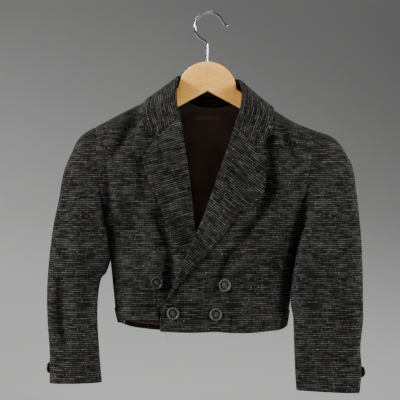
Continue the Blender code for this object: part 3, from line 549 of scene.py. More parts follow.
FRONTS = {
    "right": {"hem": UNDER_HEM, "edge": UNDER_EDGE, "lapel": UNDER_LAPEL, "notch": UNDER_NOTCH,
              "band": RIGHT_BAND, "lapel_foot": -427.0, "on_left": False, "lifted": False},
    "left": {"hem": OVER_HEM, "edge": OVER_EDGE, "lapel": OVER_LAPEL, "notch": OVER_NOTCH,
             "band": LEFT_BAND, "lapel_foot": -457.0, "on_left": True, "lifted": True}}
SLEEVES = {"right": RIGHT_SLEEVE, "left": LEFT_SLEEVE}
print("the upper front is lifted by up to", LIFT, "mm")

# %% [markdown]
# A material is a small circuit of nodes. Written as sums in Python it stays readable, so one class wraps a
# socket: a sum on it adds the Math nodes, and its node() adds any other kind. Each finish below starts from
# the Principled shader, whose unchanging values are set on its own sockets.

# %% Shader sums in Python
class Wire:
    """A value on its way through a material: sums on it add Math nodes, and node() adds any other kind."""

    def __init__(self, tree, socket=None):
        self.tree = tree
        self.socket = socket

    def node(self, kind, settings=None, sockets=None, out=0):
        """Add a node: its settings first, then the values or links of its sockets."""
        made = self.tree.nodes.new("ShaderNode" + kind)
        for name, value in (settings or {}).items():
            setattr(made, name, value)
        for name, value in (sockets or {}).items():
            if isinstance(value, Wire):
                self.tree.links.new(value.socket, made.inputs[name])
            else:
                made.inputs[name].default_value = value
        return Wire(self.tree, made.outputs[out])

    def maths(self, operation, *values):
        """A Math node on this value and others."""
        return self.node("Math", {"operation": operation}, dict(enumerate((self, *values))))

    def __add__(self, other):
        return self.maths("ADD", other)

    def __radd__(self, other):
        return self.maths("ADD", other)

    def __sub__(self, other):
        return self.maths("SUBTRACT", other)

    def __rsub__(self, other):
        return (self * -1.0).maths("ADD", other)

    def __mul__(self, other):
        return self.maths("MULTIPLY", other)

    def __rmul__(self, other):
        return self.maths("MULTIPLY", other)

    def __truediv__(self, other):
        return self.maths("DIVIDE", other)

    def __pow__(self, other):
        return self.maths("POWER", other)

    def rise(self, low, high):
        """A soft rise from 0 at low to 1 at high."""
        return self.node("MapRange", {"interpolation_type": "SMOOTHSTEP"}, {0: self, 1: low, 2: high})

    def blend(self, low, high):
        """Mix two colours by this value: the first at 0, the second at 1."""
        return self.node("Mix", {"data_type": "RGBA"}, {0: self, 6: low, 7: high}, 2)


print("sums that Wire knows:", [name for name in vars(Wire) if name.startswith("__r")])

# %% Starting a finish
def new_finish(name, **constants):
    """A material with its Principled shader's constants set, as a Wire to build on and the shader itself."""
    finish = bpy.data.materials.new(name)
    finish.use_nodes = True
    shader = finish.node_tree.nodes["Principled BSDF"]
    for socket, value in constants.items():
        shader.inputs[socket.replace("_", " ")].default_value = value
    return finish, Wire(finish.node_tree), shader


def feed(shader, **wires):
    """Link what changes over the surface to the shader's sockets."""
    for socket, wire in wires.items():
        wire.tree.links.new(wire.socket, shader.inputs[socket.replace("_", " ")])


def bumped(height_wire, strength, distance):
    """A Bump node on a height: its Normal output."""
    return height_wire.node("Bump", None, {"Strength": strength, "Distance": distance, "Height": height_wire})


def grey(value, warmth=0.0):
    """A grey colour, a little warmer above 0 and cooler below 0."""
    return (value * (1 + warmth), value, value * (1 - warmth), 1)


print("a warm grey:", grey(0.2, 0.05))

# %% [markdown]
# The cloth is a nubby tweed, a plain weave of black and pale yarn, spun unevenly. The pale weft shows as long
# level lines, thick and thin by turns; the warp crosses it as a fainter grid, and here and there a nub stands
# out. One could paint a picture of it, but the pattern is simple enough to compute. The weave map gives each
# point's place on the flat cloth in metres. Its height over the pitch counts the weft lines, and a noise that
# is long along each line, and different on each, says how much pale fibre lies there.

# %% Charcoal tweed
WEFT = 3.3
WARP = 2.2
THREAD = 1.1


def make_tweed(name, pale=0.122, ground=0.0009):
    """The larger of a bell across each weft line, times its slubs, and a fainter one across each warp."""
    finish, wire, shader = new_finish(
        name, Roughness=0.94, Sheen_Weight=0.02, Sheen_Roughness=0.5, Specular_IOR_Level=0.03)
    shader.inputs["Sheen Tint"].default_value = grey(0.5)
    flat = wire.node("UVMap", {"uv_map": "weave"})
    u = flat.node("SeparateXYZ", None, {0: flat}, 0) * 1000.0
    v = flat.node("SeparateXYZ", None, {0: flat}, 1) * 1000.0

    def noise(across, up, detail=1.0, seed=0.0):
        """Smooth noise at a place on the flat cloth; the seed picks another one."""
        place = wire.node("CombineXYZ", None, {0: across, 1: up, 2: seed})
        return wire.node("TexNoise", None, {"Vector": place, "Scale": 1.0, "Detail": detail})

    def bell(count, low, high):
        """1 in the middle of each unit, 0 at its ends: one less twice the distance from a half, softened."""
        return (1.0 - (count.maths("FRACT") * 2.0 - 1.0).maths("ABSOLUTE")).rise(low, high)

    weft = (v + noise(u / 60.0, v / 26.0) * 3.0) / WEFT
    warp = (u + noise(u / 26.0, v / 60.0, 1.0, 3.0) * 2.0) / WARP
    line, column = weft.maths("FLOOR"), warp.maths("FLOOR")
    across_weft, across_warp = bell(weft, 0.10, 0.90), bell(warp, 0.15, 0.85)
    slub = noise(u / 21.0, line * 7.31, 2.0).rise(0.30, 0.70)
    fleck = noise(u / 4.5, line * 3.77, 1.0, 5.0).rise(0.25, 0.65)
    warp_slub = noise(v / 24.0, column * 5.13, 1.0, 9.0).rise(0.40, 0.75)
    nub = noise(u / 3.0, line * 11.7, 0.0, 13.0).rise(0.73, 0.80)
    lines = across_weft * (slub * 0.80 + 0.16) * (fleck * 0.40 + 0.60) * (across_warp * 0.54 + 0.46)
    columns = across_warp * (warp_slub * 0.32 + 0.08)
    patches = noise(u / 80.0, v / 60.0, 1.0, 21.0)
    mask = (lines.maths("MAXIMUM", columns) * 0.95 + nub * across_weft * 0.8).maths("MINIMUM", 1.0)
    mask = mask ** 1.25 * (patches * 0.8 + 0.58)
    threads = (u * (2 * math.pi / THREAD)).maths("SINE") * (v * (2 * math.pi / THREAD)).maths("SINE")
    dark = patches.rise(0.35, 0.65).blend(
        (ground, ground, ground, 1), (ground * 1.5, ground * 1.5, ground * 1.3, 1))
    light = noise(u / 16.0, v / 12.0, 1.0, 30.0).rise(0.35, 0.65).blend(
        (pale, pale, pale * 0.94, 1), (pale, pale * 0.97, pale * 0.84, 1))
    relief = across_weft * 0.5 + across_warp * 0.25 + mask * 0.5 + threads * 0.15
    feed(shader, Base_Color=mask.blend(dark, light), Normal=bumped(relief, 0.55, 0.0007))
    return finish


tweed = make_tweed("charcoal tweed")
print("tweed nodes:", len(tweed.node_tree.nodes))

# %% [markdown]
# The lining is a plain brown satin. Its threads are far finer than the tweed's, so what the eye sees is a
# soft shine that changes with the lie of the cloth, and a faint line along the warp.

# %% Lining satin
def make_satin(name):
    """Brown with a slow change of tone, and a fine line whose height is a sine of the place across."""
    finish, wire, shader = new_finish(name, Sheen_Weight=0.05, Specular_IOR_Level=0.3)
    flat = wire.node("UVMap", {"uv_map": "weave"})
    tone = wire.node("TexNoise", None, {"Vector": flat, "Scale": 22.0, "Detail": 2.0})
    u = flat.node("SeparateXYZ", None, {0: flat}, 0)
    line = (u * 5200.0).maths("SINE") * 0.5 + 0.5
    colour = tone.rise(0.3, 0.7).blend((0.040, 0.018, 0.011, 1), (0.068, 0.034, 0.022, 1))
    feed(shader, Base_Color=colour, Roughness=tone * 0.25 + 0.30,
         Normal=bumped(line + tone * 2.0, 0.25, 0.0003))
    return finish


satin = make_satin("brown lining satin")
print("satin nodes:", len(satin.node_tree.nodes))

# %% [markdown]
# A wall of cloth is made from two grids of points, its outer and its inner side, and a rim that joins them.
# Solidify could do this too, but it can't tell a sewn edge from a free one. Here a free edge, such as a hem
# or a cuff, gets the half round of a fold, while a sewn edge stays flat and its outer side is tucked in a
# little, as stitches pull it. Every point also gets its place on the flat cloth, for the weave.

# %% Measures along a grid
def run_across(points):
    """Length along each row from its first point: the sum of the steps."""
    steps = np.linalg.norm(np.diff(points, axis=1), axis=-1)
    return np.concatenate([np.zeros((len(points), 1)), np.cumsum(steps, axis=1)], axis=1)


def run_up(points):
    """Length along each column from its first point: the sum of the steps."""
    steps = np.linalg.norm(np.diff(points, axis=0), axis=-1)
    return np.concatenate([np.zeros((1, points.shape[1])), np.cumsum(steps, axis=0)], axis=0)


def cloth_area(points):
    """Area of a grid: half the cross product of each cell's diagonals."""
    one = points[1:, 1:] - points[:-1, :-1]
    two = points[1:, :-1] - points[:-1, 1:]
    return np.linalg.norm(np.cross(one, two), axis=-1).sum() / 2


def tucked(outer, inner, sewn, pull=0.45, reach=1.8):
    """The outer side sunk towards the inner one by a bell of the distance to each sewn edge."""
    across, up = run_across(outer), run_up(outer)
    away = {"start": across, "end": across[:, -1:] - across, "foot": up, "top": up[-1:] - up}
    sink = sum(np.exp(-(away[side] / reach) ** 2) for side in sewn) if sewn else 0 * across
    return outer + (inner - outer) * (pull * np.minimum(sink, 1))[..., None]


print("area of a unit cell:", cloth_area(np.array([[[0, 0, 0], [1, 0, 0]], [[0, 1, 0], [1, 1, 0]]], float)))

# %% The wall of cloth
def unit(vectors):
    """Vectors over their length, and nothing where they have none."""
    length = np.linalg.norm(vectors, axis=-1, keepdims=True)
    return np.where(length > 1e-9, vectors / np.maximum(length, 1e-9), 0)


def border(grid):
    """A grid's outer loop: along the foot, up the end, back along the top, down the start."""
    return np.concatenate([grid[0, :-1], grid[:-1, -1], grid[-1, :0:-1], grid[:0:-1, 0]])


def quads(first, second):
    """Four-cornered faces between two closed loops of points."""
    return np.stack([first, second, np.roll(second, -1), np.roll(first, -1)], -1)


def wall_mesh(name, outer, inner, sewn, rim_steps=4):
    """Two grids and rings between them: middle plus half thickness by a cosine, pushed out by a sine."""
    rows, columns = outer.shape[:2]
    push = np.zeros_like(outer)
    for side, edge, beside in (("foot", np.s_[0], np.s_[1]), ("top", np.s_[-1], np.s_[-2]),
                               ("start", np.s_[:, 0], np.s_[:, 1]), ("end", np.s_[:, -1], np.s_[:, -2])):
        if side not in sewn:
            push[edge] += unit(outer[edge] - outer[beside])
    index = np.arange(rows * columns).reshape(rows, columns)
    loop = border(index)
    out_loop, in_loop, push_loop = (grid.reshape(-1, 3)[loop] for grid in (outer, inner, push))
    half = np.linalg.norm(out_loop - in_loop, axis=-1, keepdims=True) / 2
    angles = np.linspace(0, math.pi, rim_steps + 1)[1:-1, None, None]
    middle = (out_loop + in_loop) / 2 + (out_loop - in_loop) / 2 * np.cos(angles)
    rings = middle + unit(push_loop) * half * np.sin(angles) * 0.8
    points = np.concatenate([outer.reshape(-1, 3), inner.reshape(-1, 3), rings.reshape(-1, 3)])

    def cells(grid):
        """The four corners of each cell of a grid, in order round it."""
        return np.stack([grid[:-1, :-1], grid[:-1, 1:], grid[1:, 1:], grid[1:, :-1]], -1).reshape(-1, 4)

    under = index + rows * columns
    first_ring = 2 * rows * columns
    ring_loops = [first_ring + i * len(loop) + np.arange(len(loop)) for i in range(rim_steps - 1)]
    loops = [loop, *ring_loops, border(under)]
    sides = [quads(a, b) for a, b in zip(loops, loops[1:])]
    faces = np.concatenate([cells(index), cells(under)[:, ::-1], *sides])
    sources = np.concatenate([index.ravel(), index.ravel(), np.tile(loop, rim_steps - 1)])
    mesh = bpy.data.meshes.new(name)
    mesh.from_pydata((points * MM).tolist(), [], faces.tolist())
    return mesh, sources


print("loop of a 3 by 3 grid:", border(np.arange(9).reshape(3, 3)))

# %% [markdown]
# The mesh still needs its faces turned outwards, its weave map, its smooth shading and its finish. The inside
# of a panel is lined, apart from a border of the tweed that is turned in at the free edges, so the faces of
# the inner side choose between two finishes by how far they lie from those edges.

# %% Finishing a wall of cloth
def turn_outwards(mesh):
    """Recalculate the face normals of a closed mesh."""
    cloth = bmesh.new()
    cloth.from_mesh(mesh)
    bmesh.ops.recalc_face_normals(cloth, faces=cloth.faces)
    cloth.to_mesh(mesh)
    cloth.free()


def put_map(mesh, places, name="weave"):
    """Give each corner of each face the flat place of its point, in metres."""
    corners = np.zeros(len(mesh.loops), np.int32)
    mesh.loops.foreach_get("vertex_index", corners)
    layer = mesh.uv_layers.new(name=name)
    layer.uv.foreach_set("vector", (places[corners] * MM).astype(np.float32).ravel())


def place_piece(name, mesh, finishes, node, sharp=50):
    """Put a mesh in the scene as the piece that stands for a node of the packed model."""
    for finish in finishes:
        mesh.materials.append(finish)
    mesh.shade_smooth()
    mesh.set_sharp_from_angle(angle=math.radians(sharp))
    piece = bpy.data.objects.new(name, mesh)
    bpy.context.scene.collection.objects.link(piece)
    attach(piece, "root")
    if node:
        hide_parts(node)
    return piece


def cloth_piece(
        node, outer, inner, weave, sewn=(), lined=None, finish=None):
    """A wall of cloth with its weave map, lined where asked, and the size of the sheet it is cut from
    printed.
    """
    mesh, sources = wall_mesh("cloth_" + node, tucked(outer, inner, sewn), inner, sewn)
    turn_outwards(mesh)
    put_map(mesh, weave.reshape(-1, 2)[sources])
    finishes = [finish or tweed]
    if lined is not None:
        finishes.append(satin)
        cells = (outer.shape[0] - 1) * (outer.shape[1] - 1)
        chosen = np.zeros(len(mesh.polygons), np.int32)
        chosen[cells:2 * cells] = lined[:-1, :-1].ravel()
        mesh.polygons.foreach_set("material_index", chosen)
    piece = place_piece("cloth_" + node, mesh, finishes, node)
    width, length = run_across(outer)[:, -1].max(), run_up(outer)[-1].max()
    area = min(cloth_area(outer), width * length)
    print(f"{piece.name}: {len(mesh.polygons)} faces, cut {width:.0f} x {length:.0f} mm,",
          f"{area / 100:.0f} cm2")
    return piece


print("finishes so far:", [m.name for m in bpy.data.materials if m.users or m.use_nodes][:4])

# %% [markdown]
# The back is one panel, from side seam to side seam and from the hem over the shoulders to the neck. On its
# weave map the height stays the height, so the weft lies level as it does on the coat, and the width is
# measured along the cloth from the middle, so that the pattern isn't stretched where the body turns away.
# Sewn pieces stand a hair apart here, less than the solids do, so that nothing shows through a seam.

# %% Rows, columns and the weave of the body's panels
BODY_ROWS = np.unique(np.concatenate([
    np.linspace(0, 0.06, 6), np.linspace(0.07, 1, 58), np.linspace(1, 2.9, 78),
    3 - np.array([0.075, 0.05, 0.03, 0.012, 0])]))
NECK_ROUNDS = 6


def body_weave(points, level, anchor_end, sign):
    """Across: the length along the row from its anchor. Up: the height, then the arc over the shoulder."""
    run = run_across(points)
    if anchor_end:
        across = points[:, -1:, 0] - sign * (run[:, -1:] - run)
    else:
        across = run - run[:, -1:] / 2
    x = points[..., 0]
    up = np.where(level <= 2, points[..., 2], shoulder_line(x) - ROOF + ROOF * (level - 2) * math.pi / 2)
    return np.stack([across, up], -1)


def neckline(x):
    """How far behind the shoulder seam the back's neckline lies: a rounded bowl in x."""
    share = np.clip(1 - (np.abs(x) / NECK_HALF) ** 2.2, 0, 1)
    return NECK_DEPTH * share ** 0.6


def back_grid(levels, turns, margin, drop):
    """Turns and levels of a back panel, held in from the armholes and dropped below the neckline."""
    level, across = np.meshgrid(levels, turns, indexing="ij")
    right = side_turn(level, 1, False) + margin
    left = side_turn(level, 1, True) - margin
    turn = right + (left - right) * across
    top = np.full_like(level, 3.0)
    for _ in range(NECK_ROUNDS):
        x = body(turn, top, 1, BACK_HEM)[..., 0]
        top = 3 - neckline(x) - drop
    return turn, np.where(level > 2, 2 + (level - 2) * (top - 2), level)


print("body rows:", len(BODY_ROWS))

# %% The back
turn, level = back_grid(BODY_ROWS, closer_at_ends(118, 0.6), 0, 0)
SEAM_GAP = 0.06
seam = np.array((0, SEAM_GAP / 2, 0))
outer, inner = (body_layer(turn, level, 1, BACK_HEM, proud) + seam for proud in (0, -CLOTH))
weave = body_weave(outer, level, False, 1)
cloth_piece("back", outer, inner, weave, sewn=("start", "end", "top"))

# %% [markdown]
# The lining hangs inside the back, held in from the seams. It follows the same folds, a few millimetres
# further in.

# %% The lining
levels = np.concatenate([np.linspace(LINING_FOOT, 1, 34, endpoint=False), np.linspace(1, 3, 50)])
turn, level = back_grid(levels, np.linspace(0, 1, 80), LINING_MARGIN, LINING_DROP)
outer, inner = (body_layer(turn, level, 1, BACK_HEM, -CLOTH - LINING_ROOM - deep) + seam
                for deep in (0, LINING))
weave = body_weave(outer, level, False, 1)
cloth_piece("back_lining", outer, inner, weave, finish=satin)

# %% [markdown]
# Each front runs from the side seam and armhole to its inner edge, where the lapel folds out of it. The edge
# is a table of places seen from the front, so the turn that reaches it is found by closing in on it: guess a
# height, read the edge there, and repeat until it settles. Where the free edge of a lapel, the collar or the
# waistband lies on the panel, it presses a narrow trough into it, which gives the dark line beside the edge.

# %% Where the fronts are pressed in
FLAP_GROOVE = (-2.4, 3.4)
BAND_GROOVE = (-2.2, 2.2)
BAND_GROOVE_ABOVE = 1.4
COLLAR_EDGES = {
    "right": ((-78, -203), (-82.7, -198.5), (-103.2, -185.8), (-104, -160), (-104, -146)),
    "left": ((66, -216), (70.9, -212.1), (97.2, -195.8), (99, -174), (99, -158))}


def pressed_in(x, z, side):
    """Troughs in the panel alone: along the free edges of lapel, collar and waistband, and its creases."""
    lapel, band = FRONTS[side]["lapel"], FRONTS[side]["band"]
    beside_lapel = tuple(zip(lapel["edge_x"], lapel["edge_z"]))
    above_band = tuple(zip(band["x"], band["z"] + BAND_GROOVE_ABOVE))
    lines = ((*FLAP_GROOVE, beside_lapel), (*FLAP_GROOVE, COLLAR_EDGES[side]), (*BAND_GROOVE, above_band))
    return crease_height(x, z, lines, 0.03) + crease_height(x, z, PANEL_CREASES[side])


print("pressed in beside the lapel:", pressed_in(np.array([88.1]), np.array([-271.1]), "left").round(2))

# %% The fronts
FACING_WIDTH = 55
HEM_TURNED = 28
EDGE_ROUNDS = 12


def inner_turn(level, front):
    """The turn of a front's inner edge, by repeated reading of the edge's table at each level's height."""
    hem, edge = front["hem"], front["edge"]
    outwards = 1 if front["on_left"] else -1
    x = np.zeros_like(level)
    for _ in range(EDGE_ROUNDS):
        z = height(x, level, hem)
        room = FOLD_ROOM * smooth_step((z - front["lapel_foot"]) / 8 + 1)
        x = smooth_curve(z, edge["z"], edge["x"]) + outwards * room
    return turn_at(x, level, -1)


def make_front(side, columns=76):
    """A front's grid: turns from the outer edge to the inner one, levels from the hem to the shoulder."""
    front = FRONTS[side]
    level, across = np.meshgrid(BODY_ROWS, closer_at_ends(columns, 0.6), indexing="ij")
    outer_turn = side_turn(level, -1, front["on_left"])
    turn = outer_turn + (inner_turn(level, front) - outer_turn) * across
    places = body(turn, level, -1, front["hem"])
    pressed = pressed_in(places[..., 0], places[..., 2], side)
    outer, inner = (body_layer(turn, level, -1, front["hem"], pressed + proud, front["lifted"]) - seam
                    for proud in (0, -CLOTH))
    weave = body_weave(outer, level, True, -1 if front["on_left"] else 1)
    run = run_across(outer)
    lined = (run[:, -1:] - run > FACING_WIDTH) & (run_up(outer) > HEM_TURNED)
    return cloth_piece(
        "front_" + side, outer, inner, weave, ("start", "top"), lined)


for side in ("right", "left"):
    make_front(side)

# %% [markdown]
# A short strip of waistband finishes the hem of each front and runs on across the back. It lies on the panel
# and follows it, so it is the same layer, a fraction of a millimetre further out. Its upper edge is turned
# under, which the wall's half round gives.

# %% The waistband
BAND_WEAVE_SHIFT = (0, 1.2)


def band_grid(start_turn, end_turn, band, face, hem, columns):
    """Turns along the strip and levels from the hem up to the strip's upper edge."""
    turn, up = np.meshgrid(np.linspace(start_turn, end_turn, columns), closer_at_ends(16))
    x = body(turn, np.full_like(turn, 0.1), face, hem)[..., 0]
    return turn, up * level_at(x, smooth_curve(x, band["x"], band["z"]), hem)


def make_band(side, columns):
    """A strip on a front, or across the back."""
    front = FRONTS.get(side, {"hem": BACK_HEM, "band": BACK_BAND, "on_left": True, "lifted": False})
    face = 1 if side == "back" else -1
    if side == "back":
        start, stop = 0.0, math.pi
    else:
        end_x = front["band"]["x"][0 if front["on_left"] else -1]
        start = math.pi if front["on_left"] else 0.0
        stop = float(turn_at(np.array(end_x), np.array(0.1), -1))
    turn, level = band_grid(start, stop, front["band"], face, front["hem"], columns)
    outer, inner = (body_layer(turn, level, face, front["hem"], proud, front["lifted"]) + face * seam
                    for proud in (GAP + BAND_CLOTH, GAP))
    weave = body_weave(outer, level, side != "back", -1 if front["on_left"] else 1)
    sewn = ("start", "end") if side == "back" else ("start",)
    weave = weave + BAND_WEAVE_SHIFT
    return cloth_piece(
        "waistband_" + side, outer, inner, weave, sewn)


make_band("right", 44)
make_band("left", 58)
make_band("back", 130)

# %% [markdown]
# A lapel is the front's own edge, folded out and laid back on the chest; the collar does the same round the
# neck. Both are one formula: a stand, a quarter round at the fold, and a fall that slopes down to lie on the
# panel. The notch is where the two part. The inner side is worked out with its own radius, because moving
# the outer side along its normals would cross over itself inside the fold.

# %% Folded flaps
STAND_END = 0.1
FOLD_END = 0.2


def folded_flap(along, w, rows, end, front, depth):
    """w climbs the stand, goes round the fold in a quarter turn and down the fall to the free edge (1)."""
    base_x, base_over, base_proud, fold_x, fold_over, crest, edge_x, edge_over = rows(along)
    width = np.hypot(edge_x - fold_x, (edge_over - fold_over) * ROOF * math.pi / 2)
    crest_share = CREST_RADIUS / width
    radius = CREST_RADIUS - depth
    stand = np.clip(1 - w / STAND_END, 0, None)
    bend = np.clip(w / STAND_END - 1, 0, 1) * math.pi / 2
    fall = np.maximum(w - FOLD_END, 0) / (1 - FOLD_END)
    turned = crest_share * (1 - radius / CREST_RADIUS * np.cos(bend))
    share = np.where(w < FOLD_END, turned, crest_share + (1 - crest_share) * fall)
    notch_share = crest_share + (1 - crest_share) * NOTCH_AT
    dip = np.minimum(share / notch_share, (1 - share) / (1 - notch_share))
    notch_x, notch_over, weight = end(along)
    x = fold_x + (edge_x - fold_x) * share + (base_x - fold_x) * stand + notch_x * dip * weight
    over = fold_over + (edge_over - fold_over) * share + (base_over - fold_over) * stand
    over = over + notch_over * dip * weight
    rise = crest - CREST_RADIUS + radius * np.sin(bend)
    slope = FLAP_PROUD - depth + (crest - FLAP_PROUD) * np.maximum(1 - fall, 0) ** 1.3
    proud = np.where(w < FOLD_END, rise + (base_proud - crest + CREST_RADIUS) * stand, slope)
    return wrapped_layer(x, over, proud, front)


def notch_offset(fold, edge, notch):
    """How far the notch lies from the straight line between the fold's end and the free edge's end."""
    width = math.hypot(edge[0] - fold[0], (edge[1] - fold[1]) * ROOF * math.pi / 2)
    share = CREST_RADIUS / width + (1 - CREST_RADIUS / width) * NOTCH_AT
    return notch[0] - fold[0] - (edge[0] - fold[0]) * share, notch[1] - fold[1] - (edge[1] - fold[1]) * share


def over_at(x, z, front):
    """How far over the shoulder a place seen from the front lies."""
    return level_at(x, z, front["hem"]) - 3


NOTCH_COLUMN = FOLD_END + (1 - FOLD_END) * NOTCH_AT
FLAP_COLUMNS = np.unique(np.concatenate([
    np.linspace(0, STAND_END, 6), np.linspace(STAND_END, FOLD_END, 9),
    np.linspace(FOLD_END, NOTCH_COLUMN, 18), np.linspace(NOTCH_COLUMN, 0.985, 14), [0.993, 1]]))
print("columns across a flap:", len(FLAP_COLUMNS))

# %% Surfaces of the lapels and the collar
def lapel_surface(side):
    """A lapel, from the gorge seam (0) down to the foot of its fold (1), rows read from its table."""
    front = FRONTS[side]
    lapel = front["lapel"]
    knots = np.linspace(0, 1, len(lapel["crest"]))

    def rows(v):
        """The table's columns at a share down the lapel, with heights made into ways over the shoulder."""
        fold_x, fold_z, edge_x, edge_z, crest = (
            smooth_curve(v, knots, lapel[name]) for name in ("fold_x", "fold_z", "edge_x", "edge_z", "crest"))
        fold_over = over_at(fold_x, fold_z, front)
        return fold_x, fold_over, -CLOTH, fold_x, fold_over, crest, edge_x, over_at(edge_x, edge_z, front)

    top = rows(np.zeros(1))
    notch = (front["notch"][0], over_at(*map(np.array, front["notch"]), front))
    offset = notch_offset((top[3][0], top[4][0]), (top[6][0], top[7][0]), notch)

    def end(v):
        """The notch's offset, which fades out over the first three tenths of the lapel."""
        return offset[0], offset[1], 1 - smooth_step(v / 0.3)

    return lambda v, w, depth: folded_flap(v, w, rows, end, front, depth)


def collar_surface():
    """The collar, from its right end (-4) round the back of the neck (0) to its left end (4)."""
    knots = COLLAR["station"]
    ends = {}
    for side, row in (("right", 0), ("left", -1)):
        fold = (COLLAR["fold_x"][row], COLLAR["fold_over"][row])
        edge = (COLLAR["edge_x"][row], COLLAR["edge_over"][row])
        place = FRONTS[side]["notch"]
        ends[side] = notch_offset(fold, edge, (place[0], over_at(*map(np.array, place), FRONTS[side])))

    def rows(s):
        """The table's columns at a station, by the smooth curve through each."""
        return tuple(smooth_curve(s, knots, COLLAR[name]) for name in (
            "base_x", "base_over", "base_crest", "fold_x", "fold_over", "crest", "edge_x", "edge_over"))

    def end(s):
        """The nearer end's notch offset, which fades in over the last station."""
        notch_x = np.where(s < 0, ends["right"][0], ends["left"][0])
        notch_over = np.where(s < 0, ends["right"][1], ends["left"][1])
        return notch_x, notch_over, smooth_step(np.abs(s) - 3)

    return lambda s, w, depth: folded_flap(s, w, rows, end, FRONTS["right"], depth)


print("notches:", UNDER_NOTCH, OVER_NOTCH)

# %% [markdown]
# On the flaps the threads slope, because a lapel shows the front's facing turned over at an angle. A lapel
# lies nearly flat, so its flat place is the one seen from the front, turned by the slope that the threads
# show: up towards the wearer's left on the right lapel, and down on the left one; its stand is unrolled from
# the fold. On the collar the threads run along its length, so its places are measured from the fold's line.

# %% Making the flaps
RIGHT_SLOPE = 15.0
LEFT_SLOPE = -38.0
COLLAR_LENGTH = 400
FOLD_COLUMN = int(np.argmin(np.abs(FLAP_COLUMNS - (STAND_END + FOLD_END) / 2)))


def flap_weave(points, slope):
    """The place seen from the front, less the stand's length where it turns in, both turned by the slope."""
    run = run_across(points)
    stand = np.minimum(run - run[:, FOLD_COLUMN:FOLD_COLUMN + 1], 0)
    outwards = unit((points[:, -1, ::2] - points[:, FOLD_COLUMN, ::2]).mean(axis=0))
    flat = points[..., ::2] + stand[..., None] * outwards
    c, s = math.cos(math.radians(slope)), math.sin(math.radians(slope))
    return np.stack([c * flat[..., 0] + s * flat[..., 1], c * flat[..., 1] - s * flat[..., 0]], -1)


def collar_weave(points):
    """Along the fold plus the step's share along it, and out by what is left of the step."""
    fold = points[:, FOLD_COLUMN:FOLD_COLUMN + 1]
    along = run_up(points)[:, FOLD_COLUMN:FOLD_COLUMN + 1]
    heading = unit(np.gradient(fold, axis=0))
    step = points - fold
    lengthwise = (step * heading).sum(axis=-1)
    out = np.linalg.norm(step - lengthwise[..., None] * heading, axis=-1)
    side = np.sign(np.arange(len(FLAP_COLUMNS)) - FOLD_COLUMN)
    return np.stack([along + lengthwise, out * side], -1)


for side, slope in (("right", RIGHT_SLOPE), ("left", LEFT_SLOPE)):
    v, w = np.meshgrid(0.001 + 0.999 * closer_at_ends(122, 0.5), FLAP_COLUMNS, indexing="ij")
    outer, inner = (lapel_surface(side)(v, w, depth) for depth in (0, DOUBLE_CLOTH))
    cloth_piece("lapel_" + side, outer, inner, flap_weave(outer, slope), ("foot", "start"))

stations = np.linspace(-4, 4, 221) * (1 - GAP / 2 / COLLAR_LENGTH)
s, w = np.meshgrid(stations, FLAP_COLUMNS, indexing="ij")
outer, inner = (collar_surface()(s, w, depth) for depth in (0, DOUBLE_CLOTH))
cloth_piece("collar", outer, inner, collar_weave(outer), ("foot", "top", "start"))

# %% [markdown]
# A set-in sleeve starts on the armhole, leaves it along the body's cloth and eases into a tube that hangs
# straight. It is sewn of two pieces, a top sleeve before and an under sleeve behind, so each is a part of
# one surface: a ring angle round it, 0 on the outer line and a half turn at the body, and a share along it.

# %% The sleeves' form
LEAVING_STEP = 0.06


def armhole(ring, side):
    """The armhole's edge, its outward normal and the way the cloth runs on past it, front and back halves."""
    on_left = side == "left"
    place = np.mod(ring / math.pi, 2)
    towards = 1 if on_left else -1
    found = {}
    for face in (-1, 1):
        level = np.clip(3 - 2 * place if face < 0 else 2 * place - 1, 1, 3)
        turn = side_turn(level, face, on_left)
        points = body(turn, level, face, BACK_HEM)
        normal = -face * normals(lambda a, b: body(a, b, face, BACK_HEM), turn, level)
        ahead, back = (body(turn + small, level, face, BACK_HEM) for small in (1e-3, -1e-3))
        found[face] = points, normal, unit(towards * (ahead - back))
    front_half = (place < 1)[..., None]
    return tuple(np.where(front_half, found[-1][i], found[1][i]) for i in range(3))


def sleeve_tube(ring, along, side):
    """Squared ellipses between the outer line and the line that faces the body, deep by their reach."""
    sleeve = SLEEVES[side]
    middle_x = (sleeve["outer_x"] + sleeve["inner_x"]) / 2
    middle_z = (sleeve["outer_z"] + sleeve["inner_z"]) / 2
    knots = np.concatenate([[0], np.cumsum(np.hypot(np.diff(middle_x), np.diff(middle_z)))])
    knots = knots / knots[-1]
    outer_x, outer_z, inner_x, inner_z, reach, shift = (
        smooth_curve(along, knots, sleeve[name])
        for name in ("outer_x", "outer_z", "inner_x", "inner_z", "reach", "shift"))
    cosine = signed_power(np.cos(ring), 2 / SLEEVE_SQUARENESS)
    sine = signed_power(np.sin(ring), 2 / SLEEVE_SQUARENESS)
    x = (outer_x + inner_x) / 2 + (outer_x - inner_x) / 2 * cosine
    z = (outer_z + inner_z) / 2 + (outer_z - inner_z) / 2 * cosine
    return np.stack([x, shift - reach * sine, z], axis=-1)


def sleeve(ring, along, side):
    """Near the armhole its edge plus a heading times the length; further on the tube; a soft step between."""
    edge, normal, onward = armhole(ring, side)
    first = sleeve_tube(ring, np.zeros_like(along), side)
    leaving = (sleeve_tube(ring, np.full_like(along, LEAVING_STEP), side) - first) / LEAVING_STEP
    speed = np.linalg.norm(leaving, axis=-1, keepdims=True)
    smooth_part = smooth_step((np.cos(ring) + 0.55) / 0.9)[..., None]
    heading = unit(smooth_part * onward + (1 - smooth_part) * leaving / speed)
    start = edge + SEAM_GAP * (onward + (1 - smooth_part) * normal)
    eased = smooth_step(along / SLEEVE_EASE)[..., None]
    near = start + heading * speed * along[..., None]
    return near * (1 - eased) + sleeve_tube(ring, along, side) * eased


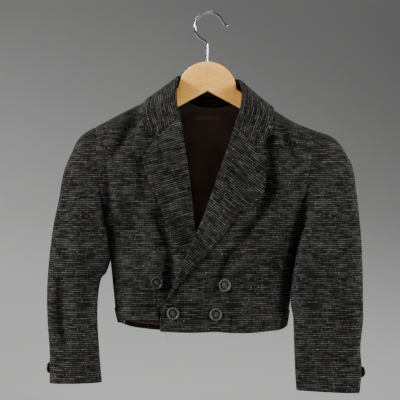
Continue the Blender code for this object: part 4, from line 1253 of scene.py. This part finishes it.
def sleeve_layer(ring, along, side, proud):
    """The sleeve's points plus their normals times how proud the layer stands and its folds."""
    points = sleeve(ring, along, side)
    outwards = 1 if side == "left" else -1
    normal = outwards * normals(lambda a, b: sleeve(a, b, side), ring, along)
    x, z = points[..., 0], points[..., 2]
    before = smooth_step(0.5 + 0.9 * np.sin(ring))
    folds = (crease_height(x, z, SLEEVE_CREASES[side, -1]) * before
             + crease_height(x, z, SLEEVE_CREASES[side, 1]) * (1 - before) + swell(x + 31 * before, z))
    snug = crease_height(x, z, (SNUG_SLEEVES[side],), 0.12) * (0.6 + 0.4 * before)
    out = proud + folds * smooth_step(along / 0.1) + snug * smooth_step(along / 0.02)
    return points + normal * out[..., None]


print("sleeve's outer line at the elbow:", sleeve(np.array([0.0]), np.array([0.5]), "right").round(1))

# %% [markdown]
# Over a sleeve's head the cloth climbs and turns inwards at once, so the way along it is longer than the
# height it gains. With the height alone on the weave map, the weft lines would look from above like the
# contour lines of a hill, so the map also gets what the way is longer by.

# %% The weave over a sleeve's head
HEAD_ROWS = 7


def head_arc(x, z, side):
    """What the way is longer than its height by: an arc sine less its sine, times the head's radius."""
    outer_x = abs(SLEEVES[side]["outer_x"][:HEAD_ROWS])
    outer_z = SLEEVES[side]["outer_z"][:HEAD_ROWS]
    lean = np.gradient(outer_x, outer_z) ** 2
    radius = np.interp(abs(x), outer_x, SLEEVES[side]["reach"][:HEAD_ROWS] * lean / (1 + lean))
    top = np.interp(abs(x), outer_x, outer_z)
    share = np.clip(1 - (top - z) / np.maximum(radius, 0.01), 0, 1)
    return radius * (np.arcsin(share) - share)


print("longer over the head by", head_arc(np.array([-185.0]), np.array([-184.0]), "right").round(1), "mm")

# %% Making the sleeves
SLEEVE_ROWS = closer_at_ends(168, 0.6)
SLEEVE_RADIUS = 40
CUFF_TURNED = 30


def make_sleeve(side, upper):
    """Half of a sleeve: the top sleeve before its two seams, or the under sleeve behind them."""
    columns = 76 if upper else 48
    along, across = np.meshgrid(SLEEVE_ROWS, closer_at_ends(columns, 0.6), indexing="ij")
    back = np.radians(BACK_SEAM[0] + (BACK_SEAM[1] - BACK_SEAM[0]) * along)
    front = np.radians(FRONT_SEAM[0] + (FRONT_SEAM[1] - FRONT_SEAM[0]) * along)
    start, stop = (back, front) if upper else (front, back + 2 * math.pi)
    parting = GAP / 2 / SLEEVE_RADIUS
    ring = start + parting + (stop - start - 2 * parting) * across
    outer, inner = (sleeve_layer(ring, along, side, proud) for proud in (0, -CLOTH))
    run = run_across(outer)
    x, z = outer[..., 0], outer[..., 2]
    weave = np.stack([run - run[:, -1:] / 2, z + head_arc(x, z, side)], -1)
    length = run_up(outer)
    lined = length[-1:] - length > CUFF_TURNED
    name = ("sleeve_top_" if upper else "sleeve_under_") + side
    return cloth_piece(
        name, outer, inner, weave, ("foot", "start", "end"), lined)


for side in ("right", "left"):
    for upper in (True, False):
        make_sleeve(side, upper)

# %% [markdown]
# The buttons are turned from dark horn or a plastic like it: a raised rim, a groove, and a low boss with four
# holes. A turned piece is a profile carried round an axis. The holes are added to its height as four small
# bells, which only a grid that is fine near them can show, so the rings are close together on the boss. The
# rim and the boss are painted greyer than the groove, partly rubbed pale by touch and partly a painted
# highlight; a map that holds each point's distance from the middle tells the finish where it is.

# %% Dark horn
def make_horn(name, rubbing_and_painted_light):
    """Near-black in the groove, rim and boss greyer as rubbing and painted highlight, slow streaks over all.
    """
    finish, wire, shader = new_finish(name, Coat_Roughness=0.22, Specular_IOR_Level=0.22)
    place = wire.node("TexCoord", None, None, 3)
    turned = wire.node("UVMap", {"uv_map": "turned"})
    radius = turned.node("SeparateXYZ", None, {0: turned}, 0)
    streak = wire.node("TexNoise", None, {"Vector": place, "Scale": 260.0, "Detail": 3.0, "Distortion": 1.2})
    scuff = wire.node("TexNoise", None, {"Vector": place, "Scale": 900.0, "Detail": 2.0})
    rim = radius.rise(0.66, 0.78)
    boss = 1.0 - radius.rise(0.38, 0.50)
    # Rim and boss painted paler: partly rubbed by touch, partly a painted highlight.
    rubbed_and_painted_highlight = ((rim + boss * 0.6) * rubbing_and_painted_light * (streak * 0.7 + 0.65)).maths("MINIMUM", 1.0)
    colour = rubbed_and_painted_highlight.blend((0.004, 0.004, 0.0045, 1), (0.046, 0.046, 0.043, 1))
    feed(shader, Base_Color=colour, Roughness=scuff * 0.25 + 0.38, Coat_Weight=streak * 0.2,
         Normal=bumped(scuff, 0.08, 0.0003))
    return finish


horn = make_horn("dark horn, rubbed, with painted highlight", 1.0)
# A copy with little paleness on rim and boss: painted shade, for a button that lies in shade.
horn_in_painted_shade = make_horn("dark horn in painted shade", 0.22)
print("horn nodes:", len(horn.node_tree.nodes))

# %% Buttons and their thread
HOLE_PLACE = 0.16
HOLE_SIZE = 0.085
HOLE_DEPTH = 1.3
BOSS_RISE = 0.62
RIM_CREST = 8
BUTTON_PROFILE = table(
    "radius rise",
    (0.00, BOSS_RISE), (0.22, BOSS_RISE), (0.38, 0.60), (0.46, 0.48), (0.54, 0.32), (0.64, 0.34),
    (0.71, 0.66), (0.78, 0.94), (0.87, 1.00), (0.94, 0.92), (0.985, 0.74), (1.00, 0.52), (0.97, 0.34),
    (0.88, 0.16), (0.74, 0.04), (0.60, 0.00), (0.00, 0.00))


def button_grid(radius, segments=72):
    """Radius and rise along the profile's own length, carried round; four bells sink holes into the boss."""
    lengths = np.concatenate([[0], np.cumsum(np.hypot(np.diff(BUTTON_PROFILE["radius"]),
                                                      np.diff(BUTTON_PROFILE["rise"]) * 0.4))])
    at = np.concatenate([np.linspace(0, 0.42, 22), np.linspace(0.42, lengths[-1], 40)[1:]])[1:-1]
    out = np.interp(at, lengths, BUTTON_PROFILE["radius"])
    rise = np.interp(at, lengths, BUTTON_PROFILE["rise"])
    out = np.convolve(np.pad(out, 1, "edge"), (0.25, 0.5, 0.25), "valid")
    rise = np.convolve(np.pad(rise, 1, "edge"), (0.25, 0.5, 0.25), "valid")
    angle = np.linspace(0, 2 * math.pi, segments, endpoint=False)
    x, y = out[:, None] * np.cos(angle), out[:, None] * np.sin(angle)
    upper = (at < lengths[RIM_CREST])[:, None]
    holes = sum(np.exp(-(((x - a * HOLE_PLACE) ** 2 + (y - b * HOLE_PLACE) ** 2) / HOLE_SIZE ** 2) ** 2)
                for a in (-1, 1) for b in (-1, 1))
    z = rise[:, None] * BUTTON_HEIGHT - np.where(upper, holes, 0) * HOLE_DEPTH
    return np.stack(np.broadcast_arrays(x * radius, y * radius, z), -1), BUTTON_HEIGHT * BOSS_RISE


def lathed_mesh(name, rings, top, foot):
    """Rings of points joined by quads, with a fan to the middle at the top and the foot."""
    count, segments = rings.shape[:2]
    points = np.concatenate([rings.reshape(-1, 3), [top, foot]])
    index = np.arange(count * segments).reshape(count, segments)
    after = np.roll(index, -1, 1)
    sides = np.stack([index[:-1], after[:-1], after[1:], index[1:]], -1).reshape(-1, 4).tolist()
    fans = [[count * segments, a, b] for a, b in zip(index[0].tolist(), after[0].tolist())]
    fans += [[count * segments + 1, b, a] for a, b in zip(index[-1].tolist(), after[-1].tolist())]
    mesh = bpy.data.meshes.new(name)
    mesh.from_pydata((points * MM).tolist(), [], sides + fans)
    turn_outwards(mesh)
    return mesh


def tube_rings(route, radius, sides=10):
    """Circles across a route: its heading crossed with a fixed side gives the circle's plane."""
    heading = unit(np.gradient(route, axis=0))
    helper = np.where(np.abs(heading[:, 1:2]) > 0.9, np.array((1.0, 0, 0)), np.array((0, 1.0, 0)))
    one = unit(np.cross(heading, helper))
    two = np.cross(heading, one)
    angle = np.linspace(0, 2 * math.pi, sides, endpoint=False)[None, :, None]
    radius = np.broadcast_to(np.asarray(radius, float), (len(route),))[:, None, None]
    return route[:, None] + radius * (np.cos(angle) * one[:, None] + np.sin(angle) * two[:, None])


rings, boss = button_grid(BUTTON_RADIUS)
print("a button's grid:", rings.shape, "boss", boss, "mm above the cloth")

# %% [markdown]
# Each button is placed as it is sewn: on its cloth, facing along the cloth's normal. The thread crosses
# between the holes as two short arched tubes.

# %% Placing the buttons
THREAD_RADIUS = 0.42
THREAD_LIFT = 0.35
THREAD_CROSSING = 0.22


def thread_finish(name, colour):
    """Spun thread: one colour, dimmer in places by a very fine noise."""
    finish, wire, shader = new_finish(name, Roughness=0.85, Sheen_Weight=0.3)
    place = wire.node("TexCoord", None, None, 3)
    twist = wire.node("TexNoise", None, {"Vector": place, "Scale": 1800.0, "Detail": 2.0})
    dim = tuple(c * 0.55 for c in colour)
    twisted = twist.rise(0.3, 0.7).blend((*dim, 1), (*colour, 1))
    feed(shader, Base_Color=twisted, Normal=bumped(twist, 0.5, 0.0002))
    return finish


dark_thread = thread_finish("charcoal sewing thread", (0.030, 0.030, 0.034))
pale_thread = thread_finish("pale loose thread", (0.22, 0.21, 0.19))


def front_seat(x, z, side):
    """Where a button lies on a front, by its place seen from the front, and the way it faces."""
    front = FRONTS[side]
    level = level_at(np.array([x]), np.array([z]), front["hem"])
    turn = turn_at(np.array([x]), level, -1)
    near = turn + np.array([-0.05, 0, 0.05])
    levels = np.repeat(level, 3)
    ring = body_layer(near, levels, -1, front["hem"], 0, front["lifted"])
    seat = ring[1]
    over = body_layer(turn, level + 0.03, -1, front["hem"], 0, front["lifted"])[0]
    under = body_layer(turn, level - 0.03, -1, front["hem"], 0, front["lifted"])[0]
    facing = unit(np.cross(ring[2] - ring[0], over - under))
    facing = facing if facing[1] < 0 else -facing
    return seat + facing * BUTTON_SEAT, facing


def cuff_seat(side, along, degrees):
    """Where a cuff button lies on a sleeve, and the way it faces."""
    ring, along = np.array([math.radians(degrees)]), np.array([along])
    outwards = 1 if side == "left" else -1
    facing = outwards * normals(lambda a, b: sleeve(a, b, side), ring, along)
    return sleeve_layer(ring, along, side, BUTTON_SEAT)[0], facing[0]


def turned_to(points, facing):
    """Points turned so that their +Z faces the given way, and +Y as far up as it can."""
    up = unit(np.array((0, 0, 1.0)) - facing * facing[2])
    return points[..., :1] * np.cross(up, facing) + points[..., 1:2] * up + points[..., 2:] * facing


def make_button(node, seat, facing, radius, finish):
    """The button's rings and its two thread tubes, turned to face out and moved to their seat."""
    rings, boss = button_grid(radius)
    middle = turned_to(np.array([[0, 0, boss], [0, 0, 0]]), facing) + seat
    mesh = lathed_mesh("horn_" + node, turned_to(rings, facing) + seat, middle[0], middle[1])
    from_middle = np.append(np.hypot(rings[..., 0], rings[..., 1]).ravel() / radius, (0, 0))
    put_map(mesh, np.stack([from_middle, 0 * from_middle], -1) / MM, "turned")
    place_piece("horn_" + node, mesh, [finish], node, sharp=60)
    arch = np.linspace(-1, 1, 9)
    reach = HOLE_PLACE * radius
    for i, sign in enumerate((-1, 1)):
        height_of = boss + THREAD_LIFT - HOLE_DEPTH * arch ** 4 + THREAD_CROSSING * i
        route = turned_to(np.stack([arch * reach, sign * arch * reach, height_of], -1), facing) + seat
        tube = tube_rings(route, THREAD_RADIUS, 8)
        name = f"thread_{node}_{i}"
        thread_mesh = lathed_mesh(name, tube, route[0], route[-1])
        place_piece(name, thread_mesh, [dark_thread], None, sharp=60)
    print(node, "at", seat.round(1), "facing", facing.round(2))


for node, (side, x, z) in FRONT_BUTTONS.items():
    # The upper right button takes the darker copy, painted shade for the lapel's shade over it.
    button_finish = horn_in_painted_shade if node == "button_upper_right" else horn
    make_button(node, *front_seat(x, z, side), BUTTON_RADIUS, button_finish)
for node, (side, along, degrees) in CUFF_BUTTONS.items():
    # The cuff buttons use the same darker copy made as painted shade.
    make_button(node, *cuff_seat(side, along, degrees), CUFF_BUTTON_RADIUS, horn_in_painted_shade)

# %% [markdown]
# The hanger is sawn from a pale board in two halves, joined under the hook, and its edges are rounded over.
# Its outline is a table of heights along the coat; at each place the section is a rounded rectangle, which
# keeps the same small radius where the wood is high and where it is low.

# %% Pale varnished wood
def make_wood(name):
    """Grain along the arms, from stretched noise and thin dark lines, a narrow dip at the joint, and painted
    shade.
    """
    finish, wire, shader = new_finish(name, Coat_Roughness=0.16, Specular_IOR_Level=0.5)
    place = wire.node("TexCoord", None, None, 3)
    x, y, z = (place.node("SeparateXYZ", None, {0: place}, i) * 1000.0 for i in (0, 1, 2))
    slope = x.maths("ABSOLUTE") * 0.30
    lie = z + slope

    def noise(a, b, c, detail=2.0):
        """Smooth noise at a place whose three lengths are stretched by what they are divided by."""
        vector = wire.node("CombineXYZ", None, {0: a, 1: b, 2: c})
        return wire.node("TexNoise", None, {"Vector": vector, "Scale": 1.0, "Detail": detail})

    broad = noise(x / 90.0, y / 16.0, lie / 13.0)
    fine = noise(x / 26.0, y / 1.6, lie / 1.3, 3.0)
    pores = noise(x / 9.0, y / 0.8, lie / 0.7, 1.0).rise(0.60, 0.72)
    tone = broad.rise(0.30, 0.70).blend((0.92, 0.52, 0.13, 1), (0.82, 0.41, 0.075, 1))
    tone = (fine.rise(0.35, 0.70) * 0.60).blend(tone, (0.55, 0.25, 0.06, 1))
    # Painted shade: a darker, deeper orange over the lower right of the hanger's head, near the coat's neck.
    warm = (x - 6.0).rise(0.0, 26.0) * (-1.0 * (z + 96.0)).rise(0.0, 34.0)
    tone = (warm * 0.65).blend(tone, (0.54, 0.21, 0.04, 1))
    joint = 1.0 - (x + 2.8).maths("ABSOLUTE").rise(0.15, 0.55)
    tone = (pores * 0.40 + joint * 0.22).maths("MINIMUM", 1.0).blend(tone, (0.30, 0.14, 0.05, 1))
    relief = fine * 0.4 - pores * 0.5 - joint * 0.7
    feed(shader, Base_Color=tone, Roughness=fine * 0.2 + 0.22, Coat_Weight=0.35 + broad * 0.2,
         Normal=bumped(relief, 0.25, 0.0004))
    return finish


wood = make_wood("pale varnished wood")
print("wood nodes:", len(wood.node_tree.nodes))

# %% The hanger's wood
WOOD_THICK = 13.0
HEAD_CENTRE = (-3.4, -123.3)
HEAD_RADIUS = 46.8
NOTCH_TOP = (-3.0, -123.6)
NOTCH_SLOPE = 0.54
ARM_REACH = (-166.0, 159.0)
ARM_END_DEPTH = 20.0
ARM_BELOW_SHOULDER = 4.6
ARM_ROOT_DEPTH = 34.0
WOOD_EDGE = 3.5
HEAD_ARC = (171, 9)
ARM_END_ROUND = 9.0
ARM_END_SHARE = 0.45


def wood_outline():
    """Places along the hanger, and the heights of its top (arms and an arch) and its foot (a notch)."""
    start, stop = np.radians(HEAD_ARC)
    angle = np.linspace(start, stop, 72)
    head = np.stack([
        HEAD_CENTRE[0] + HEAD_RADIUS * np.cos(angle), HEAD_CENTRE[1] + HEAD_RADIUS * np.sin(angle)], -1)
    left_x = np.linspace(head[-1, 0] + 1.0, ARM_REACH[1], 44)
    right_x = np.linspace(ARM_REACH[0], head[0, 0] - 1.0, 44)
    arms = [np.stack([x, shoulder_line(x) - ARM_BELOW_SHOULDER], -1) for x in (right_x, left_x)]
    top = np.concatenate([arms[0], head, arms[1]])
    x = top[:, 0]
    notch = NOTCH_TOP[1] - NOTCH_SLOPE * np.sqrt((x - NOTCH_TOP[0]) ** 2 + 0.6)
    share = np.clip((np.abs(x - NOTCH_TOP[0]) - HEAD_RADIUS) / (ARM_REACH[1] - HEAD_RADIUS), 0, 1)
    depth = ARM_ROOT_DEPTH + (ARM_END_DEPTH - ARM_ROOT_DEPTH) * share
    foot = np.where(share > 0, np.maximum(notch, top[:, 1] - depth), notch)
    near_end = np.minimum(x - ARM_REACH[0], ARM_REACH[1] - x)
    round_off = np.sqrt(np.clip(1 - (1 - np.clip(near_end / ARM_END_ROUND, 0, 1)) ** 2, 0, 1))
    shrink = ARM_END_SHARE + (1 - ARM_END_SHARE) * round_off
    middle = (top[:, 1] + foot) / 2
    return x, middle + (top[:, 1] - middle) * shrink, middle + (foot - middle) * shrink


def rounded_section(half_y, top, foot, radius, steps=7):
    """A rounded rectangle: corner centres plus a radius times cosine and sine, four quarter turns."""
    quarter = np.linspace(0, math.pi / 2, steps)
    angle = np.concatenate([quarter + i * math.pi / 2 for i in range(4)])
    side_y = np.repeat((1, -1, -1, 1), steps)
    side_z = np.repeat((1, 1, -1, -1), steps)
    centre_z = np.where(side_z > 0, (top - radius)[:, None], (foot + radius)[:, None])
    y = side_y * (half_y - radius)[:, None] + radius[:, None] * np.cos(angle)
    return y, centre_z + radius[:, None] * np.sin(angle)


x, top, foot = wood_outline()
radius = np.minimum(WOOD_EDGE, (top - foot) * 0.45)
y, z = rounded_section(np.full_like(x, WOOD_THICK / 2), top, foot, radius)
rings = np.stack(np.broadcast_arrays(x[:, None], y, z), -1)
ends = [np.array((x[i], 0, (top[i] + foot[i]) / 2)) for i in (0, -1)]
wood_mesh = lathed_mesh("wood_hanger", rings, *ends)
place_piece("wood_hanger", wood_mesh, [wood], "hanger_wood", sharp=40)
print("hanger:", rings.shape, "from", x.min(), "to", x.max(), "mm")

# %% [markdown]
# The hook is bright steel wire, bent round a bar and screwed into the head. A tube carried along its route
# makes it; the last few circles shrink, so that the cut end is rounded as a wire's is.

# %% Bright steel and the hook
WIRE_THICK = 4.0
HOOK_RADIUS = 23.2
HOOK_ARC = (20, 226)
HOOK_TIP = ((29.8, -19.0), (27.4, -18.7), (24.9, -17.2), (23.1, -14.8))
HOOK_BENDS = (
    (-14.2, -39.2), (-10.2, -42.0), (-6.2, -44.6), (-4.2, -48.0), (-3.8, -54.0), (-3.8, -64.0), (-3.8, -78.6))
CUT_END = 0.12
CUT_ROUND = 1.9


def make_steel(name):
    """Polished metal, a little duller in fine patches by a noise."""
    finish, wire, shader = new_finish(name, Metallic=1.0)
    place = wire.node("TexCoord", None, None, 3)
    streak = wire.node("TexNoise", None, {"Vector": place, "Scale": 700.0, "Detail": 3.0})
    colour = streak.rise(0.3, 0.7).blend((0.27, 0.27, 0.28, 1), (0.44, 0.44, 0.45, 1))
    feed(shader, Base_Color=colour, Roughness=streak * 0.16 + 0.10, Normal=bumped(streak, 0.06, 0.0003))
    return finish


def hook_route():
    """The middle of the wire: open end, a round of a circle, the shoulder, and the stem into the wood."""
    rise = WIRE_THICK / 2
    angle = np.radians(np.linspace(HOOK_ARC[0], HOOK_ARC[1], 22))
    round_part = np.stack([HOOK_RADIUS * np.cos(angle), HOOK_RADIUS * np.sin(angle) + rise - HOOK_RADIUS], -1)
    knots = np.concatenate([HOOK_TIP, round_part, HOOK_BENDS])
    run = np.concatenate([[0], np.cumsum(np.linalg.norm(np.diff(knots, axis=0), axis=1))])
    at = np.linspace(0, run[-1], 170)
    route = np.stack([smooth_curve(at, run, knots[:, i]) for i in (0, 1)], -1)
    return np.stack([route[:, 0], np.zeros(len(route)), route[:, 1]], -1), at


steel = make_steel("bright steel")
route, at = hook_route()
from_end = np.clip((at + CUT_END) / CUT_ROUND, 0, 1)
wire_radius = WIRE_THICK / 2 * np.sqrt(np.clip(1 - (1 - from_end) ** 2, 0.02, 1))
hook_rings = tube_rings(route, wire_radius, 20)
hook_mesh = lathed_mesh("steel_hook", hook_rings, route[0] + (CUT_END, 0, 0), route[-1])
place_piece("steel_hook", hook_mesh, [steel], "hanger_hook", sharp=60)
print("hook:", len(route), "circles along", round(float(at[-1]), 1), "mm")

# %% [markdown]
# Two loose ends of thread hang from the hem, as on a coat that has been worn. They are thin tubes on short
# routes, each fixed at the cloth and free at the other end.

# %% Loose threads at the hem
LOOSE_RADIUS = 0.35
LOOSE_ENDS = {
    "loose_thread_right": (
        ((-134, -35.5, -489), (-136, -38, -494), (-141, -39, -501), (-143.5, -39, -506)), pale_thread),
    "loose_thread_middle": (
        ((-70, -50, -503), (-69.4, -51, -507), (-67, -51, -511), (-65, -50.5, -514)), dark_thread)}


def loose_thread(name, points, finish):
    """A smooth route through its points, as a tube that thins towards its free end."""
    points = np.array(points, float)
    knots = np.arange(len(points), dtype=float)
    at = np.linspace(0, len(points) - 1, 26)
    route = np.stack([smooth_curve(at, knots, points[:, i]) for i in range(3)], -1)
    tube = tube_rings(route, LOOSE_RADIUS * (1 - 0.5 * at / at[-1]), 6)
    place_piece(name, lathed_mesh(name, tube, route[0], route[-1]), [finish], None, sharp=60)
    print(name, "length", round(float(np.linalg.norm(np.diff(route, axis=0), axis=1).sum()), 1), "mm")


for name, (points, thread) in LOOSE_ENDS.items():
    loose_thread(name, points, thread)

# %% [markdown]
# The coat hangs before a plain pale backdrop that curves forward into a plain floor, which shows from the
# side and from above. It stands over four metres behind the coat, so that the camera can also go round and
# look at the back. The paper is painted pale at the floor and greyer higher up and to the right: painted
# shade for the fall-off of the studio light. The light is a studio's: a large soft lamp far out on the left,
# which shapes the folds, weaker ones opposite for the other sleeve, a little from in front, one for the
# coat's back and one above for the backdrop.

# %% Floor and backdrop
def make_paper(name):
    """Matt paper: painted shade, pale below and grey above by a soft rise in height that leans; a faint
    mottle.
    """
    finish, wire, shader = new_finish(name, Roughness=0.9, Specular_IOR_Level=0.2)
    place = wire.node("TexCoord", None, None, 3)
    x, z = (place.node("SeparateXYZ", None, {0: place}, i) for i in (0, 2))
    # Painted shade: the paper turns greyer to the right and higher up, standing in for the light's fall-off.
    lean = x.maths("MINIMUM", 0.9).maths("MAXIMUM", -0.9) * z.rise(-1.19, -0.3) * 0.38
    mottle = wire.node("TexNoise", None, {"Vector": place, "Scale": 2.0, "Detail": 3.0})
    painted_falloff = (z + lean + mottle * 0.08).rise(-1.31, 0.78) ** 0.42
    feed(shader, Base_Color=painted_falloff.blend(grey(0.48, 0.01), grey(0.062, 0.01)))
    return finish


FLOOR_HEIGHT = -1050.0
BACKDROP_PLACE = 4600.0
COVE_RADIUS = 700.0
SWEEP_FRONT = -5000.0
SWEEP_TOP = 3200.0
SWEEP_SIDES = (-7000.0, 7000.0)
cove = np.linspace(0, math.pi / 2, 25)
sweep_y = np.concatenate([
    [SWEEP_FRONT], BACKDROP_PLACE - COVE_RADIUS + COVE_RADIUS * np.sin(cove), [BACKDROP_PLACE]])
sweep_z = np.concatenate([[FLOOR_HEIGHT], FLOOR_HEIGHT + COVE_RADIUS * (1 - np.cos(cove)), [SWEEP_TOP]])
sweep_x = np.array(SWEEP_SIDES)
sweep = np.stack(np.broadcast_arrays(sweep_x[None], sweep_y[:, None], sweep_z[:, None]), -1)
index = np.arange(sweep.shape[0] * 2).reshape(-1, 2)
sweep_faces = np.stack([index[:-1, 0], index[:-1, 1], index[1:, 1], index[1:, 0]], -1)
paper_mesh = bpy.data.meshes.new("paper_sweep")
paper_mesh.from_pydata((sweep.reshape(-1, 3) * MM).tolist(), [], sweep_faces.tolist())
paper_mesh.materials.append(make_paper("pale backdrop paper"))
paper_mesh.shade_smooth()
paper = bpy.data.objects.new("paper_sweep", paper_mesh)
bpy.context.scene.collection.objects.link(paper)
paper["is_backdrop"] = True
print("floor at", FLOOR_HEIGHT, "mm")

# %% Lights
def soft_lamp(name, place, target, size, power):
    """A square lamp aimed at a point: its -Z axis along the line between the two."""
    lamp = bpy.data.lights.new(name, "AREA")
    lamp.shape = "SQUARE"
    lamp.size = size
    lamp.energy = power
    holder = bpy.data.objects.new(name, lamp)
    holder.location = place
    holder.rotation_euler = (Vector(target) - Vector(place)).to_track_quat("-Z", "Y").to_euler()
    bpy.context.scene.collection.objects.link(holder)
    print(name, power, "W,", size, "m wide")


COAT_MIDDLE = (0.0, 0.0, -0.3)
soft_lamp("left soft lamp", (-2.9, -1.15, 0.8), COAT_MIDDLE, 0.9, 245)
soft_lamp("right soft lamp", (2.9, -1.15, 0.5), COAT_MIDDLE, 0.9, 180)
soft_lamp("right edge lamp", (2.9, 1.25, 0.5), COAT_MIDDLE, 0.9, 80)
soft_lamp("weak front lamp", (-0.3, -2.7, 1.5), COAT_MIDDLE, 1.0, 12)
soft_lamp("rear lamp", (-1.3, 2.9, 1.3), COAT_MIDDLE, 0.9, 70)
soft_lamp("backdrop lamp", (0.0, 2.5, 2.4), (0.0, 4.6, -0.9), 1.0, 105)
world = bpy.data.worlds.new("studio")
world.use_nodes = True
world.node_tree.nodes["Background"].inputs["Color"].default_value = (0.95, 0.97, 1.0, 1)
world.node_tree.nodes["Background"].inputs["Strength"].default_value = 0.09
bpy.context.scene.world = world

# %% [markdown]
# Last, the dressed coat is measured against the packed model: cloth may stand a little proud of its solids,
# but the object's size is theirs.

# %% Sizes, and the end
shown_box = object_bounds()
for axis in range(3):
    past = [round((shown_box[i][axis] - cad_box[i][axis]) * 1000, 1) for i in (0, 1)]
    print("XYZ"[axis], past, "mm past the solids")
